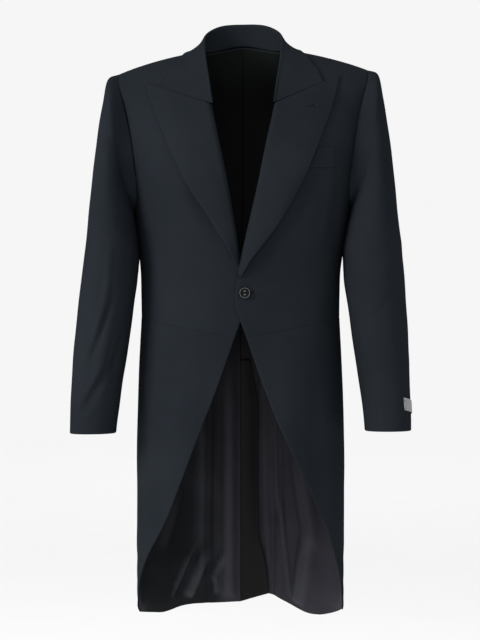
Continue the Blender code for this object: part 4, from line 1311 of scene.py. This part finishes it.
def cord(name, points, radius, finish, sides=8):
    """A round cord along points."""
    rings = []
    for k, p in enumerate(points):
        ahead = (points[min(k + 1, len(points) - 1)] - points[max(k - 1, 0)]).normalized()
        side = ahead.cross(Vector((0.0, 1.0, 0.02))).normalized()
        over = side.cross(ahead)
        rings.append([p + (side * math.cos(a) + over * math.sin(a)) * radius for a in circle(sides)])
    return tube(name, rings, finish)


def make_button(name, angle, z, lift):
    """A sewn button: a dished horn disc with a pale ring painted on as the rim's highlight, four holes and
    two threads.
    """
    seat, normal = off_skin(angle, z, lift + SEAM_GAP)
    side = UP.cross(normal).normalized()
    turn = Matrix((side, normal.cross(side), normal)).transposed().to_4x4()
    place = Matrix.Translation(stand(seat)) @ turn
    profile = [(r * BUTTON_RADIUS, h * BUTTON_THICKNESS) for r, h in BUTTON_ROUNDING]
    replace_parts(lathe(f"{name}_horn", [(CENTRE, 0.0), *profile, (CENTRE, DISH)], place, "horn"), name)
    # Painted highlight: a pale cord round the top of the disc stands for the light caught on the rim.
    ring = [place @ Vector((RING * math.cos(a), RING * math.sin(a), BUTTON_THICKNESS - RING_SUNK))
            for a in np.linspace(0.0, 2.0 * math.pi, 49)]
    cord(f"{name}_ring", ring, RING_RADIUS, "rim_highlight")
    for k, (x, y) in enumerate(((1, 1), (-1, 1), (-1, -1), (1, -1))):
        at = place @ Matrix.Translation((x * HOLE_X, y * HOLE_Y, DISH))
        lathe(f"{name}_hole_{k}", HOLE, at, "thread", 16)
    for k, y in enumerate((HOLE_Y, -HOLE_Y)):
        line = [place @ Vector((x * HOLE_X, y, DISH + THREAD_LIE + THREAD_ARCH * (1.0 - x * x)))
                for x in np.linspace(-1.0, 1.0, 9)]
        cord(f"{name}_thread_{k}", line, THREAD_RADIUS, "pale_thread")


# Hand sewing

# Each buttonhole, its piece, its start and its end
BUTTONHOLES = (
    ("front", "forepart_cloth_left", (0.0080, -0.4383), (0.0245, -0.4383)),
    ("lapel", "lapel_cloth_left", (0.1160, -0.1125), (0.1330, -0.1085)),
)
HOLE_WIDTH, HOLE_SWELL, BAR_REACH = 0.0011, 1.5, 1.3
# How far the edge, bar and slit lie off the cloth, and their radii
EDGE_LIE, BAR_LIE, SLIT_LIE = 0.0002, 0.0003, 0.0001
EDGE_RADIUS, BAR_RADIUS, SLIT_RADIUS = 0.00035, 0.0004, 0.0003
STITCH_IN, STITCH_HEIGHTS, STITCH_TURN = 0.0020, (-0.6270, -0.6410), 1.57
STITCH_LENGTH, STITCH_RADIUS = 0.0030, 0.0004


def on_cloth(name):
    """The function that finds a piece's front over x and z, in the stance of the wearer."""
    mesh = bpy.data.objects[name].data
    tree = BVHTree.FromPolygons([v.co for v in mesh.vertices], [p.vertices for p in mesh.polygons])

    def find(x, z, out):
        place, normal, _, _ = tree.ray_cast(Vector((x, -1.0, z)), Vector((0.0, 1.0, 0.0)))
        return place + normal * out
    return find


def make_buttonhole(name, piece, start, end):
    """A worked buttonhole: a slit edged with close stitches, and a bar at its end."""
    find = on_cloth(piece)
    (x0, z0), (x1, z1) = start, end
    run = math.hypot(x1 - x0, z1 - z0)

    def at(share, off, out):
        x, z = mix(x0, x1, share) - (z1 - z0) / run * off, mix(z0, z1, share) + (x1 - x0) / run * off
        return find(x, z, out)

    loop = []
    for t in np.linspace(0.0, 2.0 * math.pi, 41):
        swell = HOLE_SWELL if t > 0.0 else 1.0
        loop.append(at(0.5 - 0.5 * math.cos(t), HOLE_WIDTH * math.sin(t) * swell, EDGE_LIE))
    cord(f"{name}_buttonhole_edge", loop, EDGE_RADIUS, "thread")
    reach = HOLE_WIDTH * BAR_REACH
    bar = [at(1.0, off, BAR_LIE) for off in (-reach, 0.0, reach)]
    cord(f"{name}_buttonhole_bar", bar, BAR_RADIUS, "grey_thread")
    slit = [at(t, 0.0, SLIT_LIE) for t in np.linspace(0.1, 0.95, 9)]
    cord(f"{name}_buttonhole_slit", slit, SLIT_RADIUS, "thread")


def make_stitches():
    """Short upright stitches that hold down the near end of the label."""
    find = on_cloth("cuff_label_ribbon")
    x = min(v.co.x for v in bpy.data.objects["cuff_label_ribbon"].data.vertices) + STITCH_IN
    dx, dz = 0.5 * STITCH_LENGTH * math.cos(STITCH_TURN), 0.5 * STITCH_LENGTH * math.sin(STITCH_TURN)
    for k, z in enumerate(STITCH_HEIGHTS):
        line = [find(x + s * dx, z + s * dz, STITCH_RADIUS * (1.0 - s * s))
                for s in (-1.0, -0.5, 0.0, 0.5, 1.0)]
        cord(f"label_stitch_{k}", line, STITCH_RADIUS, "thread")


# Camera, light and floor

CAMERA_X, CAMERA_HEIGHT, CAMERA_DISTANCE = -0.001, -0.486, 3.4
SENSOR, PICTURE_ROWS, PIXEL = 36.0, 640, 0.0018
FLOOR, FLOOR_RADIUS = -1.50, 12.0
# Each lamp: name, place, size, power, aim
LAMPS = (
    ("key", (-3.5, -2.3, 0.9), 1.6, 185.0, (0.0, 0.0, -0.45)),
    ("fill", (-0.4, -3.8, 0.2), 2.4, 14.0, (0.0, 0.0, -0.6)),
    ("back", (0.8, 2.1, 1.5), 1.6, 11.0, (0.0, 0.0, -0.3)),
    ("backdrop", (0.0, 10.0, 3.0), 12.0, 160.0, (0.0, 10.0, -1.5)),
)


def studio():
    scene = bpy.context.scene
    camera = bpy.data.cameras.new("camera")
    camera.sensor_width = SENSOR
    camera.lens = SENSOR * CAMERA_DISTANCE / (PICTURE_ROWS * PIXEL)
    scene.camera = placed("camera", camera, (CAMERA_X, -CAMERA_DISTANCE, CAMERA_HEIGHT))
    scene.camera.rotation_euler = (math.pi / 2, 0.0, 0.0)
    for name, place, size, power, aim in LAMPS:
        lamp = bpy.data.lights.new(name, "AREA")
        lamp.energy, lamp.size = power, size
        towards = Vector(aim) - Vector(place)
        placed(name, lamp, place).rotation_euler = towards.to_track_quat("-Z", "Y").to_euler()
    scene.view_settings.view_transform = "Standard"
    scene.world = bpy.data.worlds.new("studio")
    scene.world.use_nodes = True
    background = scene.world.node_tree.nodes["Background"]
    background.inputs["Color"].default_value = (0.92, 0.92, 0.92, 1.0)
    background.inputs["Strength"].default_value = 1.0


def floor():
    """A pale round floor, as far below the coat as a standing wearer's feet."""
    mesh = bpy.data.meshes.new("floor")
    edge = [(FLOOR_RADIUS * math.cos(a), FLOOR_RADIUS * math.sin(a), 0.0) for a in circle(96)]
    mesh.from_pydata(edge, [], [tuple(range(len(edge)))])
    n = Nodes("floor")
    tone = n.blend(n.noise(n.place(), 3.0, 2.0), (0.780, 0.780, 0.780), (0.800, 0.800, 0.800))
    n.feed(n.shader, Base_Color=tone, Roughness=0.95, Specular_IOR_Level=0.1)
    mesh.materials.append(n.material)
    placed("floor", mesh, (0.0, 0.0, FLOOR))


studio()
floor()
for wearer_side in (LEFT, RIGHT):
    make_body(wearer_side)
    make_lapel(wearer_side)
    make_sleeve(wearer_side)
    make_button(f"back_button_{SIDE_NAMES[wearer_side]}",
                (SIDE_SEAM_WAIST + BACK_BUTTON_TURN) * wearer_side, BACK_BUTTON_Z, 0.0)
make_collar()
make_welt()
make_label()
make_button("front_button", angle_at(BUTTON_X, BUTTON_Z), BUTTON_Z, BUTTON_LIFT)
for buttonhole in BUTTONHOLES:
    make_buttonhole(*buttonhole)
make_stitches()
